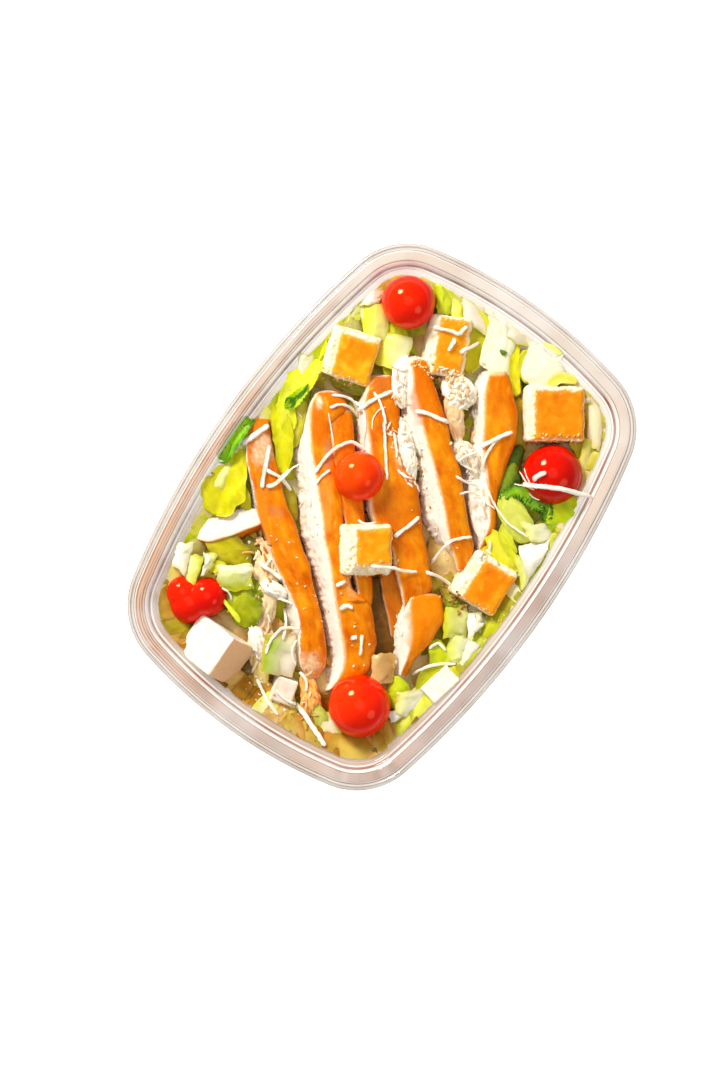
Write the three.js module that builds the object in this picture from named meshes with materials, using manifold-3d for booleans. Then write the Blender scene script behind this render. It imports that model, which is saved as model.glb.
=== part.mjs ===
// Chicken caesar salad in its clear plastic tray.
//
// Millimetres, +Z up. The origin is at the middle of the tray's underside, +Y runs along the
// tray's long side and +X along its short side. The tray is one thin shell with a stepped rim.
// The lettuce is one heap that fills it, and chicken strips, croutons, cherry tomatoes and
// pale cubes lie sunk in the top of that heap. Every piece keeps a small gap to its neighbours.

import * as THREE from 'three';
import { mergeVertices } from 'three/addons/utils/BufferGeometryUtils.js';
import Module from 'manifold-3d';

const wasm = await Module();
wasm.setup();

// ---------------------------------------------------------------- driving dimensions

const TRAY_WIDTH = 137.5; // X, over the rim
const TRAY_LENGTH = 190.0; // Y, over the rim
const TRAY_HEIGHT = 48.0;
const WALL = 0.8;
const SIDE_BOW = 317; // radius of the long sides' slight bow
const END_BOW = 183; // radius of the short ends' bow
const CORNER = 26.8; // corner radius of the rim's edge
const CORNER_LEDGE = 16.8; // and of the ledge, from which it shrinks more slowly
const FLANGE_IN = 2.9; // where the flat flange starts, in from the edge
const FLANGE_OUT = 6.4; // where it ends
const LEDGE_IN = 9.4; // inner edge of the ledge below the flange
const LEDGE_Z = 44.9;
const SKIRT_Z = 42.6; // lower edge of the turned-down rim
const BASE_IN = 21.5; // how far in the flat underside starts
const SEGMENTS = 48; // around the tray: three on each half side and end, six on each corner
const GAP = 0.35; // between neighbouring pieces
const HOLLOW = 1.1; // room around each piece in the lettuce, which is cut in coarser steps

const LETTUCE_Z = 37.0; // mean top of the heap
const LETTUCE_RELIEF = 2.0;

const A = TRAY_WIDTH / 2;
const B = TRAY_LENGTH / 2;

// The whole salad's pieces lie at one angle across the tray: the strips run along this.
const LIE = THREE.MathUtils.degToRad(35.6);

// ---------------------------------------------------------------- materials

const paint = (color, roughness, extra = {}) =>
  new THREE.MeshStandardMaterial({ color, roughness, metalness: 0, ...extra });
const clearPlastic = paint(0xf3e4da, 0.12, { transparent: true, opacity: 0.35 });
const leafGreen = paint(0xc4cf2c, 0.45);
const cookedChicken = paint(0xf08a24, 0.5);
const whiteMeat = paint(0xfbe9cf, 0.6);
const toast = paint(0xf29a26, 0.8);
const tomatoRed = paint(0xf02a08, 0.15);

// ---------------------------------------------------------------- solids

// A closed three.js geometry as a solid, and a solid as a geometry.
function solidOf(geometry) {
  const g = geometry.clone();
  g.deleteAttribute('normal');
  g.deleteAttribute('uv');
  const merged = mergeVertices(g.index ? g.toNonIndexed() : g, 1e-4);
  const triVerts = [];
  const index = merged.index.array;
  for (let i = 0; i < index.length; i += 3) {
    const [a, b, c] = [index[i], index[i + 1], index[i + 2]];
    if (a !== b && b !== c && c !== a) triVerts.push(a, b, c);
  }
  return new wasm.Manifold(
    new wasm.Mesh({
      numProp: 3,
      vertProperties: new Float32Array(merged.getAttribute('position').array),
      triVerts: new Uint32Array(triVerts),
    }),
  );
}

function geometryOf(solid) {
  const mesh = solid.getMesh();
  const position = new Float32Array(mesh.numVert * 3);
  for (let i = 0; i < mesh.numVert; i++) {
    for (let k = 0; k < 3; k++) position[3 * i + k] = mesh.vertProperties[i * mesh.numProp + k];
  }
  const g = new THREE.BufferGeometry();
  g.setAttribute('position', new THREE.BufferAttribute(position, 3));
  g.setIndex(Array.from(mesh.triVerts));
  const merged = mergeVertices(g, 4e-3); // drops the slivers a cut can leave
  const keep = [];
  const index = merged.index.array;
  for (let i = 0; i < index.length; i += 3) {
    const [a, b, c] = [index[i], index[i + 1], index[i + 2]];
    if (a !== b && b !== c && c !== a) keep.push(a, b, c);
  }
  merged.setIndex(keep);
  merged.computeVertexNormals();
  return merged;
}

const largest = (solid) =>
  solid.decompose().reduce((best, s) => (s.volume() > best.volume() ? s : best));

// Smooth unevenness from a few sine waves; `seed` picks the waves.
function uneven(x, y, z, seed) {
  const s = Math.sin;
  return (
    (s(x * 1.7 + seed * 2.1) * s(y * 1.3 + seed * 0.7) +
      s(y * 2.3 + z * 1.9 + seed * 1.3) * 0.7 +
      s(x * 2.9 - z * 2.2 + seed * 3.7) * 0.5) /
    2.2
  );
}

// ---------------------------------------------------------------- the tray's outline

// The outline is two bowed sides and two bowed ends joined by round corners, all of them
// offset by `inset` mm from the rim's edge. `step` counts around it from +X.
function outline(inset, step) {
  const deep = Math.min(inset, BASE_IN);
  const a = A - deep;
  const b = B - deep;
  const r = Math.max(CORNER - deep, CORNER_LEDGE - 0.35 * (deep - (CORNER - CORNER_LEDGE)));
  const side = { x: a - (SIDE_BOW - deep), r: SIDE_BOW - deep - r }; // on the X axis
  const end = { y: b - (END_BOW - deep), r: END_BOW - deep - r }; // on the Y axis
  // the corner's centre is where the two inner circles cross
  const d = Math.hypot(side.x, end.y);
  const along = (side.r ** 2 - end.r ** 2 + d * d) / (2 * d);
  const off = Math.sqrt(side.r ** 2 - along ** 2);
  const [ux, uy] = [-side.x / d, end.y / d];
  const cross = [1, -1].map((k) => [side.x + ux * along - k * uy * off, uy * along + k * ux * off]);
  const [cx, cy] = cross.find(([x, y]) => x > 0 && y > 0);
  const from = Math.atan2(cy, cx - side.x);
  const to = Math.atan2(cy - end.y, cx);
  const quarter = SEGMENTS / 4;
  const i = ((step % SEGMENTS) + SEGMENTS) % SEGMENTS;
  const q = Math.floor(i / quarter);
  let k = i - q * quarter;
  if (q % 2) k = quarter - k; // quarters run to and fro, mirrored
  let x, y;
  if (k <= 3) {
    const t = (from * k) / 3;
    [x, y] = [side.x + (side.r + r) * Math.cos(t), (side.r + r) * Math.sin(t)];
  } else if (k <= quarter - 3) {
    const t = from + ((to - from) * (k - 3)) / (quarter - 6);
    [x, y] = [cx + r * Math.cos(t), cy + r * Math.sin(t)];
  } else {
    const t = to + ((Math.PI / 2 - to) * (k - quarter + 3)) / 3;
    [x, y] = [(end.r + r) * Math.cos(t), end.y + (end.r + r) * Math.sin(t)];
  }
  // inside the base the outline shrinks evenly to the middle
  const shrink = inset > BASE_IN ? Math.max(0, (B - inset) / (B - BASE_IN)) : 1;
  return [x * shrink * (q === 1 || q === 2 ? -1 : 1), y * shrink * (q >= 2 ? -1 : 1)];
}

// A lathe turned about +Z whose circles are drawn out to the tray's outline. The profile is a
// list of [inset, z]; an inset of B is the axis. Points at the height `free` are then placed
// by `place(x, y, inset, step)`.
function trayLathe(profile, free = Infinity, place = null) {
  const points = profile.map(([inset, z]) => new THREE.Vector2(Math.max(0, B - inset), z));
  const g = new THREE.LatheGeometry(points, SEGMENTS);
  g.rotateX(Math.PI / 2);
  const p = g.getAttribute('position');
  for (let i = 0; i < p.count; i++) {
    const r = Math.hypot(p.getX(i), p.getY(i));
    const step = Math.round((Math.atan2(p.getY(i), p.getX(i)) / (2 * Math.PI)) * SEGMENTS);
    const [x, y] = r < 1e-6 ? [0, 0] : outline(B - r, step);
    if (place && p.getZ(i) > free - 1e-6) p.setXYZ(i, ...place(x, y, B - r, step));
    else p.setXY(i, x, y);
  }
  return g;
}

function closed(geometry) {
  // Lathes come out inside out when their profile runs the other way.
  let s = solidOf(geometry);
  if (s.volume() <= 0) {
    const g = geometry.index ? geometry.toNonIndexed() : geometry.clone();
    const p = g.getAttribute('position').array;
    for (let i = 0; i < p.length; i += 9) {
      for (let k = 0; k < 3; k++) [p[i + k], p[i + 3 + k]] = [p[i + 3 + k], p[i + k]];
    }
    s = solidOf(g);
  }
  return s;
}

// ---------------------------------------------------------------- the tray

const trayOuter = [
  [B, 0.5],
  [BASE_IN + 9.6, 0.5],
  [BASE_IN + 8.6, 0],
  [BASE_IN - 0.6, 0],
  [BASE_IN - 2.9, 1.6],
  [BASE_IN - 3.8, 4.2],
  [BASE_IN - 8.2, 27.0],
  [LEDGE_IN + 1.5, 43.2],
  [LEDGE_IN - 0.2, LEDGE_Z - WALL],
  [FLANGE_OUT + 0.4, LEDGE_Z - WALL],
  [FLANGE_OUT - 0.7, TRAY_HEIGHT - WALL],
  [FLANGE_IN, TRAY_HEIGHT - WALL],
  [WALL, TRAY_HEIGHT - 2.2],
  [WALL, SKIRT_Z],
];
const wallInner = [
  // the inner face, from the ledge's edge down to the base
  [LEDGE_IN, LEDGE_Z],
  [LEDGE_IN + 2.1, 43.0],
  [BASE_IN - 7.4, 27.0],
  [BASE_IN - 2.9, 4.4],
  [BASE_IN - 1.4, 1.9],
  [BASE_IN + 1.6, 0.5 + WALL],
];
const trayInner = [
  [0, SKIRT_Z],
  [0, TRAY_HEIGHT - 1.5],
  [0.8, TRAY_HEIGHT - 0.6],
  [1.9, TRAY_HEIGHT - 0.9],
  [FLANGE_IN, TRAY_HEIGHT],
  [FLANGE_OUT, TRAY_HEIGHT],
  [FLANGE_OUT + 1.1, LEDGE_Z],
  ...wallInner,
  [B, 0.5 + WALL],
];
const tray = closed(trayLathe([...trayOuter, ...trayInner]));

// The room inside it, with the gap all round, open far above the rim.
const cavity = closed(
  trayLathe([
    [B, 0.5 + WALL + GAP],
    ...wallInner.map(([inset, z]) => [inset + GAP, z + GAP]).reverse(),
    [FLANGE_OUT + 1.1 + GAP, LEDGE_Z + GAP],
    [FLANGE_OUT + GAP, TRAY_HEIGHT],
    [FLANGE_OUT + GAP, 90],
    [B, 90],
  ]),
);

// ---------------------------------------------------------------- shapes of the food

// A cherry tomato: a slightly flattened, slightly lumpy ball.
function tomatoGeometry(radius, seed, grow, fine = true) {
  const g = new THREE.IcosahedronGeometry(1, fine ? (radius > 10 ? 3 : 2) : 1);
  const p = g.getAttribute('position');
  for (let i = 0; i < p.count; i++) {
    const [x, y, z] = [p.getX(i), p.getY(i), p.getZ(i)];
    const r = radius * (1 + 0.012 * uneven(x * 1.3, y * 1.3, z * 1.3, seed)) + grow;
    p.setXYZ(i, x * r, y * r, z * r * 0.97);
  }
  return g;
}

// A crouton or cube: a block with blunt corners and torn, uneven faces.
function blockGeometry([w, d, h], seed, rough, grow, fine = true) {
  const g = fine ? new THREE.BoxGeometry(1, 1, 1, 3, 3, 2) : new THREE.BoxGeometry(1, 1, 1);
  const p = g.getAttribute('position');
  for (let i = 0; i < p.count; i++) {
    const [x, y, z] = [p.getX(i) * 2, p.getY(i) * 2, p.getZ(i) * 2];
    const far = Math.hypot(x, y, z);
    const blunt = 1 - 0.075 * Math.max(0, far - 1.15);
    const n = 1 + rough * uneven(x * 1.1, y * 1.2, z * 1.4, seed);
    p.setXYZ(
      i,
      x * blunt * n * (w / 2 + grow),
      y * blunt * n * (d / 2 + grow),
      z * blunt * (1 + rough * uneven(y, x, z, seed + 5)) * (h / 2 + grow),
    );
  }
  return g;
}

// A strip sliced from a grilled breast. `path` runs along the middle of its browned top face,
// [x, y, z, scale] each; `top` is that face's width, `side` how far the pale cut face slopes
// out on the left of it, and `high` the strip's depth.
function stripGeometry({ path, top, side, high, seed }, grow, fine = true) {
  const t = top / 2 + grow;
  const h = high + grow;
  const corners = fine
    ? [
        [-t, -0.7 + grow * 0.6],
        [-t - side, -h * 0.72],
        [-t - side * 0.82, -h],
        [t - 1.2, -h],
        [t + 0.3, -h * 0.55],
        [t, -1.3 + grow * 0.6],
        [t - 1.5, grow - 0.1],
        [-t + 1.6, grow + 0.2],
      ]
    : [
        [-t - side * 0.2, grow],
        [-t - side - 0.2, -h * 0.72],
        [-t - side * 0.82, -h],
        [t + 0.3, -h],
        [t + 0.3, grow],
      ];
  const section = new THREE.Shape(corners.map(([x, y]) => new THREE.Vector2(x, y)));
  const steps = Math.round(fine ? 1.4 * path.length + 1 : path.length + 1);
  const g = new THREE.ExtrudeGeometry(section, { depth: 1, steps, bevelEnabled: false });
  const curve = new THREE.CatmullRomCurve3(
    path.map(([x, y, z]) => new THREE.Vector3(x, y, z)),
    false,
    'centripetal',
  );
  const length = curve.getLength();
  const scales = path.map((q) => q[3] ?? 1);
  const p = g.getAttribute('position');
  for (let i = 0; i < p.count; i++) {
    const even = p.getZ(i);
    const u = even - 0.11 * Math.sin(2 * Math.PI * even); // closer steps towards the ends
    const at = curve.getPointAt(THREE.MathUtils.clamp(u, 0, 1));
    const tangent = curve.getTangentAt(THREE.MathUtils.clamp(u, 0, 1));
    const right = new THREE.Vector3(-tangent.y, tangent.x, 0).normalize();
    const place = u * (scales.length - 1);
    const k0 = Math.min(Math.floor(place), scales.length - 2);
    const scale = THREE.MathUtils.lerp(scales[k0], scales[k0 + 1], place - k0);
    const end = Math.max(0, Math.min(u, 1 - u)) * length; // blunt, rounded ends
    const round = 0.7 + 0.3 * Math.min(1, Math.sqrt(end / 4));
    const s = scale * round;
    const wave = 0.35 * uneven(u * 9, p.getX(i) * 0.1, 0, seed);
    const along = (even === 0 ? -grow : even === 1 ? grow : 0) + wave * 0.6;
    p.setXYZ(
      i,
      at.x + right.x * (p.getX(i) * s + wave) + tangent.x * along,
      at.y + right.y * (p.getX(i) * s + wave) + tangent.y * along,
      at.z - (1 - round) * 3 + p.getY(i) * (0.55 + 0.45 * s) + wave * 0.6,
    );
  }
  return g;
}

// ---------------------------------------------------------------- the pieces, by rank

// Each piece is cut clear of those listed before it, and the heap of lettuce of them all.
// `shape(grow, fine)` gives its solid, grown by some room, in coarse steps if not fine.
const pieces = [];

function addPiece(name, material, position, rotation, shape) {
  const node = new THREE.Object3D();
  node.position.set(...position);
  node.rotation.set(...rotation, 'ZXY');
  node.updateMatrix();
  pieces.push({ name, material, node, shape });
}

const tomatoes = [
  // name, x, y, z of the middle, radius
  ['tomato_end', -37.6, 69.0, 45.6, 9.8],
  ['tomato_right', 41.5, 48.7, 42.4, 11.0],
  ['tomato_middle', -15.5, 7.1, 46.8, 9.1],
  ['tomato_corner', 33.4, -60.7, 42.6, 11.4],
];
tomatoes.forEach(([name, x, y, z, radius], i) =>
  addPiece(name, tomatoRed, [x, y, z], [0.2 * i, 0, i], (grow, fine) =>
    solidOf(tomatoGeometry(radius, i + 1, grow, fine)),
  ),
);
// A misshapen fruit: two shoulders with a notch between them, over one pointed end.
const LOBES = [
  [-4.9, -0.6, 0.4, 6.1],
  [3.6, 3.4, 0.6, 7.3],
  [-0.4, -2.6, -1.0, 7.4],
];
addPiece('tomato_double', tomatoRed, [-38.4, -64.0, 41.0], [0, 0, 0], (grow, fine) =>
  LOBES.map(([x, y, z, radius], i) => {
    const g = tomatoGeometry(radius, i + 7, grow, fine);
    g.translate(x, y, z);
    return solidOf(g);
  }).reduce((a, b) => a.add(b)),
);

const blocks = [
  // name, material, x, y, z of the middle, [w, d, h], yaw, tilt about x, tilt about y, roughness
  ['crouton_a', toast, -44.2, 41.4, 39.8, [18.0, 18.5, 15.0], LIE - 0.3, 0.1, 0.16, 0.035],
  ['crouton_b', toast, -17.6, 64.2, 39.6, [15.5, 22.0, 14.0], LIE - 0.16, 0.06, 0.18, 0.035],
  ['crouton_c', toast, 1.7, -13.3, 45.4, [18.5, 18.5, 11.0], LIE, 0.06, 0.16, 0.035],
  ['crouton_d', toast, 28.7, 66.4, 39.6, [21.5, 20.5, 15.5], LIE, -0.06, 0.14, 0.02],
  ['crouton_e', toast, 43.7, 2.0, 39.6, [17.5, 18.5, 14.5], LIE - 0.55, -0.04, 0.16, 0.03],
  ['cube_large', whiteMeat, -21.4, -73.2, 40.2, [16.6, 14.8, 15.0], 0.02, 0.06, -0.58, 0.02],
  ['cube_small', whiteMeat, 7.3, -72.0, 38.2, [8.5, 9.5, 9.0], LIE - 0.35, 0.1, 0.1, 0.03],
  ['cube_side', whiteMeat, 52.6, -36.6, 39.0, [8.0, 10.5, 8.5], LIE + 0.5, 0.1, -0.3, 0.03],
];
blocks.forEach(([name, material, x, y, z, size, yaw, tiltX, tiltY, rough], i) =>
  addPiece(name, material, [x, y, z], [tiltX, tiltY, yaw], (grow, fine) =>
    solidOf(blockGeometry(size, i * 1.9 + 1, rough, grow, fine)),
  ),
);

const strips = [
  {
    name: 'strip_5',
    path: [
      [-25.2, 52.0, 46.8, 0.85],
      [-11.5, 41.9, 48.6, 1.05],
      [2.8, 32.0, 48.8, 1.05],
      [14.4, 22.5, 47.8, 1],
      [25.5, 12.7, 46.0, 1],
      [34.9, 3.3, 43.8, 0.85],
    ],
    top: 8.0,
    side: 6.2,
    high: 11.5,
    seed: 5,
  },
  {
    name: 'strip_2',
    path: [
      [-42.6, 28.1, 44.0, 0.8],
      [-36.5, 12.8, 46.2, 0.9],
      [-27.5, 1.4, 47.0, 0.95],
      [-16.1, -8.2, 47.2, 1],
      [-3.8, -18.6, 46.8, 1.05],
      [5.7, -26.9, 46.4, 1.15],
      [13.9, -35.8, 45.6, 1.2],
      [24.6, -49.5, 42.8, 1.15],
    ],
    top: 10.2,
    side: 6.4,
    high: 11.5,
    seed: 2,
  },
  {
    name: 'strip_6',
    path: [
      [4.4, 67.1, 44.4, 1.15],
      [9.9, 59.4, 46.4, 1.2],
      [15.6, 50.1, 46.6, 1.1],
      [21.8, 39.0, 45.6, 0.9],
      [28.0, 27.8, 44.4, 0.75],
      [33.5, 18.4, 42.8, 0.6],
    ],
    top: 10.5,
    side: 6.6,
    high: 10.5,
    seed: 6,
  },
  {
    name: 'strip_3',
    path: [
      [-27.7, 39.6, 43.4, 0.9],
      [-21.4, 30.3, 45.0, 1],
      [-12.6, 21.0, 45.4, 1.05],
      [-3.1, 12.2, 45.4, 1.1],
      [6.6, 3.6, 45.0, 1.05],
      [14.4, -4.2, 44.4, 1],
      [26.7, -17.7, 42.2, 0.9],
    ],
    top: 11.5,
    side: 3.4,
    high: 10.0,
    seed: 3,
  },
  {
    name: 'strip_4',
    path: [
      [29.7, -13.6, 43.2, 0.85],
      [35.6, -24.0, 43.8, 1.15],
      [38.6, -36.8, 41.8, 0.85],
    ],
    top: 11.0,
    side: 6.0,
    high: 9.5,
    seed: 4,
  },
  {
    name: 'strip_1',
    path: [
      [-54.6, 2.6, 44.2, 0.7],
      [-50.4, -6.2, 45.0, 0.8],
      [-40.1, -15.2, 45.6, 0.95],
      [-29.2, -22.1, 45.6, 1.05],
      [-18.8, -29.3, 45.4, 1.1],
      [-8.7, -37.3, 44.8, 1.1],
      [0.8, -45.2, 44.0, 1.05],
      [9.0, -54.0, 42.4, 0.95],
      [15.3, -63.3, 40.2, 0.75],
    ],
    top: 11.0,
    side: 2.8,
    high: 9.5,
    seed: 1,
  },
  {
    name: 'strip_2b',
    path: [
      [-34.6, 22.0, 42.6, 0.9],
      [-25.5, 11.8, 42.6, 1],
      [-10.5, -4.2, 42.2, 1],
      [3.0, -16.9, 41.8, 1],
      [11.6, -26.4, 40.6, 0.85],
    ],
    top: 9.0,
    side: 1.0,
    high: 7.5,
    seed: 8,
  },
  {
    name: 'strip_3b',
    path: [
      [12.6, -14.6, 40.4, 0.8],
      [18.2, -21.6, 40.8, 1],
      [26.2, -31.4, 39.6, 0.8],
    ],
    top: 7.0,
    side: 1.5,
    high: 7.0,
    seed: 9,
  },
  {
    // the short piece at the side lies with its pale cut face up
    name: 'strip_short',
    path: [
      [-53.0, -44.6, 41.6, 0.85],
      [-45.6, -35.6, 43.4, 1],
      [-36.0, -27.0, 43.6, 0.95],
    ],
    top: 8.4,
    side: 2.6,
    high: 9.0,
    seed: 10,
  },
  {
    // torn meat between the two strips at the far end
    name: 'torn_a',
    path: [
      [-9.4, 56.4, 42.4, 0.9],
      [-2.4, 48.8, 44.2, 1.1],
      [6.4, 40.4, 43.6, 0.9],
    ],
    top: 8.4,
    side: 2.0,
    high: 8.0,
    seed: 11,
  },
  {
    // crumbly meat beside the first strip
    name: 'torn_b',
    path: [
      [-24.6, -42.4, 40.2, 0.8],
      [-15.6, -51.6, 40.8, 1],
      [-7.0, -62.6, 39.4, 0.8],
    ],
    top: 7.6,
    side: 2.0,
    high: 7.0,
    seed: 12,
  },
  {
    name: 'torn_c',
    path: [
      [12.0, -65.8, 38.8, 0.8],
      [16.6, -70.0, 39.4, 1],
      [21.0, -74.0, 38.6, 0.8],
    ],
    top: 6.0,
    side: 1.0,
    high: 6.5,
    seed: 13,
  },
];
strips.forEach((strip) => {
  const [x, y, z] = strip.path[Math.floor(strip.path.length / 2)];
  const local = { ...strip, path: strip.path.map(([a, b, c, k]) => [a - x, b - y, c - z, k]) };
  const material = strip.name.startsWith('torn') ? whiteMeat : cookedChicken;
  addPiece(strip.name, material, [x, y, z], [0, 0, 0], (grow, fine) =>
    closed(stripGeometry(local, grow, fine)),
  );
});

// ---------------------------------------------------------------- the heap of lettuce

// Bumps and hollows of the heap: x, y, radius, height.
const MOUNDS = [
  [-55.0, -9.0, 9, 7.0],
  [-50.0, 16.0, 12, 3.6],
  [-52.0, 50.0, 12, 3.0],
  [-22.0, 82.0, 12, 2.6],
  [48.0, 30.0, 12, 3.2],
  [50.0, -18.0, 11, 2.2],
  [36.0, -46.0, 9, 1.8],
  [-30.0, -50.0, 10, 3.4],
  [-48.0, -50.0, 10, 1.6],
  [-2.0, -60.0, 8, 2.4],
  [6.0, 80.0, 12, -3.4],
  [0.0, -78.0, 16, -3.0],
];

function lettuceTop(x, y) {
  let z = LETTUCE_Z + LETTUCE_RELIEF * uneven(x * 0.13, y * 0.11, (x + y) * 0.05, 4.2);
  for (const [mx, my, radius, high] of MOUNDS) {
    z += high * Math.exp(-(((x - mx) ** 2 + (y - my) ** 2) / radius ** 2));
  }
  return z;
}

// How far in from the rim's edge the tray's inner face is at the height z.
function wallInset(z) {
  for (let i = 1; i < wallInner.length; i++) {
    const [[i0, z0], [i1, z1]] = [wallInner[i - 1], wallInner[i]];
    if (z <= z0 && z >= z1) return i0 + ((i1 - i0) * (z0 - z)) / (z0 - z1);
  }
  return z > LEDGE_Z ? LEDGE_IN : BASE_IN + 1.6;
}

function lettuceSolid() {
  const FLOOR = 0.5 + WALL + GAP;
  const SKY = 80; // stands for the top face until its heights are known
  const sides = [FLOOR, 1.9 + GAP, 4.4 + GAP, 27].map((z) => [wallInset(z - GAP) + GAP, z]);
  const rings = [12, 15, 22, 31, 41, 52, 65, 80].map((inset) => [inset, SKY]);
  const height = (x, y, inset, step) => {
    if (inset > 12.1) return [x, y, lettuceTop(x, y)];
    const z = Math.min(lettuceTop(x, y), LEDGE_Z - 0.6); // the outermost ring is at the wall
    return [...outline(wallInset(z) + GAP, step), z];
  };
  return closed(trayLathe([[B, FLOOR], ...sides, ...rings, [B, SKY]], SKY, height));
}

// ---------------------------------------------------------------- putting it together

const salad = new THREE.Group();
salad.name = 'chicken_caesar_salad';

function addMesh(name, material, solid, node) {
  const inverse = node ? node.matrix.clone().invert() : new THREE.Matrix4();
  const mesh = new THREE.Mesh(geometryOf(solid.transform(inverse.elements)), material);
  mesh.name = name;
  if (node) {
    mesh.position.copy(node.position);
    mesh.quaternion.copy(node.quaternion);
  }
  salad.add(mesh);
}

addMesh('tray', clearPlastic, tray);

let taken = null;
let hollows = null;
for (const { name, material, node, shape } of pieces) {
  const at = node.matrix.elements;
  let solid = shape(0, true).transform(at).intersect(cavity);
  if (taken) solid = solid.subtract(taken);
  addMesh(name, material, largest(solid), node);
  const room = shape(GAP, true).transform(at);
  taken = taken ? taken.add(room) : room;
  const hollow = shape(HOLLOW, false).transform(at);
  hollows = hollows ? hollows.add(hollow) : hollow;
}
addMesh('lettuce', leafGreen, largest(lettuceSolid().subtract(hollows)));

export default salad;
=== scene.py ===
"""The looks of a chicken caesar salad in its clear tray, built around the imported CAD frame.

Shapes are made in millimetres in the row frame and turned to metres when a mesh is made.
Places are given as pixels of a 720x1080 top view, which P() turns into the row frame.
"""

import math

import bpy
import numpy as np
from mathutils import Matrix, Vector
from mathutils.bvhtree import BVHTree


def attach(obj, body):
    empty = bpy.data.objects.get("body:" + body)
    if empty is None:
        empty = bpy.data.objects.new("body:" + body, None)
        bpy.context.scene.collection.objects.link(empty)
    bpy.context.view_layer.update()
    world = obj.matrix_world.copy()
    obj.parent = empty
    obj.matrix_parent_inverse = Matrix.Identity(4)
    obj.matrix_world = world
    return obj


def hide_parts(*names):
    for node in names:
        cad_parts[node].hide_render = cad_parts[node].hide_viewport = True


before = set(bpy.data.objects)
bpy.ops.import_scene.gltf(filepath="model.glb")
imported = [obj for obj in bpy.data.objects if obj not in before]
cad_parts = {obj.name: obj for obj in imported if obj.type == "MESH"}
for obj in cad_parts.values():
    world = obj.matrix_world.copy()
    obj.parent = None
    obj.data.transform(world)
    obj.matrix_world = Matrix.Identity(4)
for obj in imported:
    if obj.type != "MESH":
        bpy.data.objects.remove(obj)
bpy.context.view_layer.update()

# ------------------------------------------------------------------ the view

PX = 0.3624  # mm per pixel at the rim's height
RIM = 48.0
CX, CY = 382.1, 517.0  # the pixel over the tray's middle
RIGHT = np.array([0.8131, 0.5821])  # the picture's right in X and Y
UP = np.array([-0.5821, 0.8131])
LENS = 100.0
HIGH = RIM + 1080 * PX * LENS / 36.0  # the camera's height


def flat(px, py):
    px, py = np.asarray(px, float), np.asarray(py, float)
    dx, dy = (px - CX) * PX, -(py - CY) * PX
    return dx[..., None] * RIGHT + dy[..., None] * UP


EYE = flat(360.0, 540.0)


def P(px, py, z=RIM):
    """The point at height z (mm) that the camera sees at a pixel."""
    z = np.asarray(z, float)
    at = flat(px, py)
    k = (HIGH - z) / (HIGH - RIM)
    xy = EYE + (at - EYE) * k[..., None]
    return np.concatenate([xy, np.broadcast_to(z[..., None], xy.shape[:-1] + (1,))], -1)


# ------------------------------------------------------------------ numbers


def lin(c):
    """sRGB 0-255 to linear."""
    c = np.asarray(c, float) / 255
    return np.where(c <= 0.04045, c / 12.92, ((c + 0.055) / 1.055) ** 2.4)


def mix(a, b, t):
    t = np.clip(np.asarray(t, float), 0, 1)
    a, b = np.asarray(a, float), np.asarray(b, float)
    if a.ndim >= 1 and a.shape[-1:] == (3,) and t.ndim and t.shape[-1:] != (3,):
        t = t[..., None]
    return a * (1 - t) + b * t


def step(lo, hi, x):
    t = np.clip((np.asarray(x, float) - lo) / (hi - lo), 0, 1)
    return t * t * (3 - 2 * t)


def _hash(i, seed):
    h = (
        i[..., 0].astype(np.uint32) * np.uint32(374761393)
        + i[..., 1].astype(np.uint32) * np.uint32(668265263)
        + i[..., 2].astype(np.uint32) * np.uint32(2246822519)
        + np.uint32((seed * 3266489917 + 12345) & 0xFFFFFFFF)
    )
    h = (h ^ (h >> np.uint32(15))) * np.uint32(2246822519)
    h = (h ^ (h >> np.uint32(13))) * np.uint32(3266489917)
    return h ^ (h >> np.uint32(16))


def noise(p, seed=0):
    """Gradient noise, about -1..1."""
    p = np.asarray(p, float)
    base = np.floor(p)
    f = p - base
    base = base.astype(np.int64)
    w = f * f * f * (f * (f * 6 - 15) + 10)
    out = 0
    for dx in (0, 1):
        for dy in (0, 1):
            for dz in (0, 1):
                h = _hash((base + [dx, dy, dz]) & 0xFFFFFFFF, seed)
                g = np.stack(
                    [
                        (h & np.uint32(255)).astype(float),
                        ((h >> np.uint32(8)) & np.uint32(255)).astype(float),
                        ((h >> np.uint32(16)) & np.uint32(255)).astype(float),
                    ],
                    -1,
                )
                g = g / 127.5 - 1
                d = (g * (f - [dx, dy, dz])).sum(-1)
                k = (
                    (w[..., 0] if dx else 1 - w[..., 0])
                    * (w[..., 1] if dy else 1 - w[..., 1])
                    * (w[..., 2] if dz else 1 - w[..., 2])
                )
                out = out + d * k
    return out * 1.3


def fbm(p, octaves=3, seed=0, gain=0.5):
    p = np.asarray(p, float)
    out, amp, total = 0, 1.0, 0
    for k in range(octaves):
        out = out + amp * noise(p * 2**k + 17.3 * k, seed + k)
        total += amp
        amp *= gain
    return out / total


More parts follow.
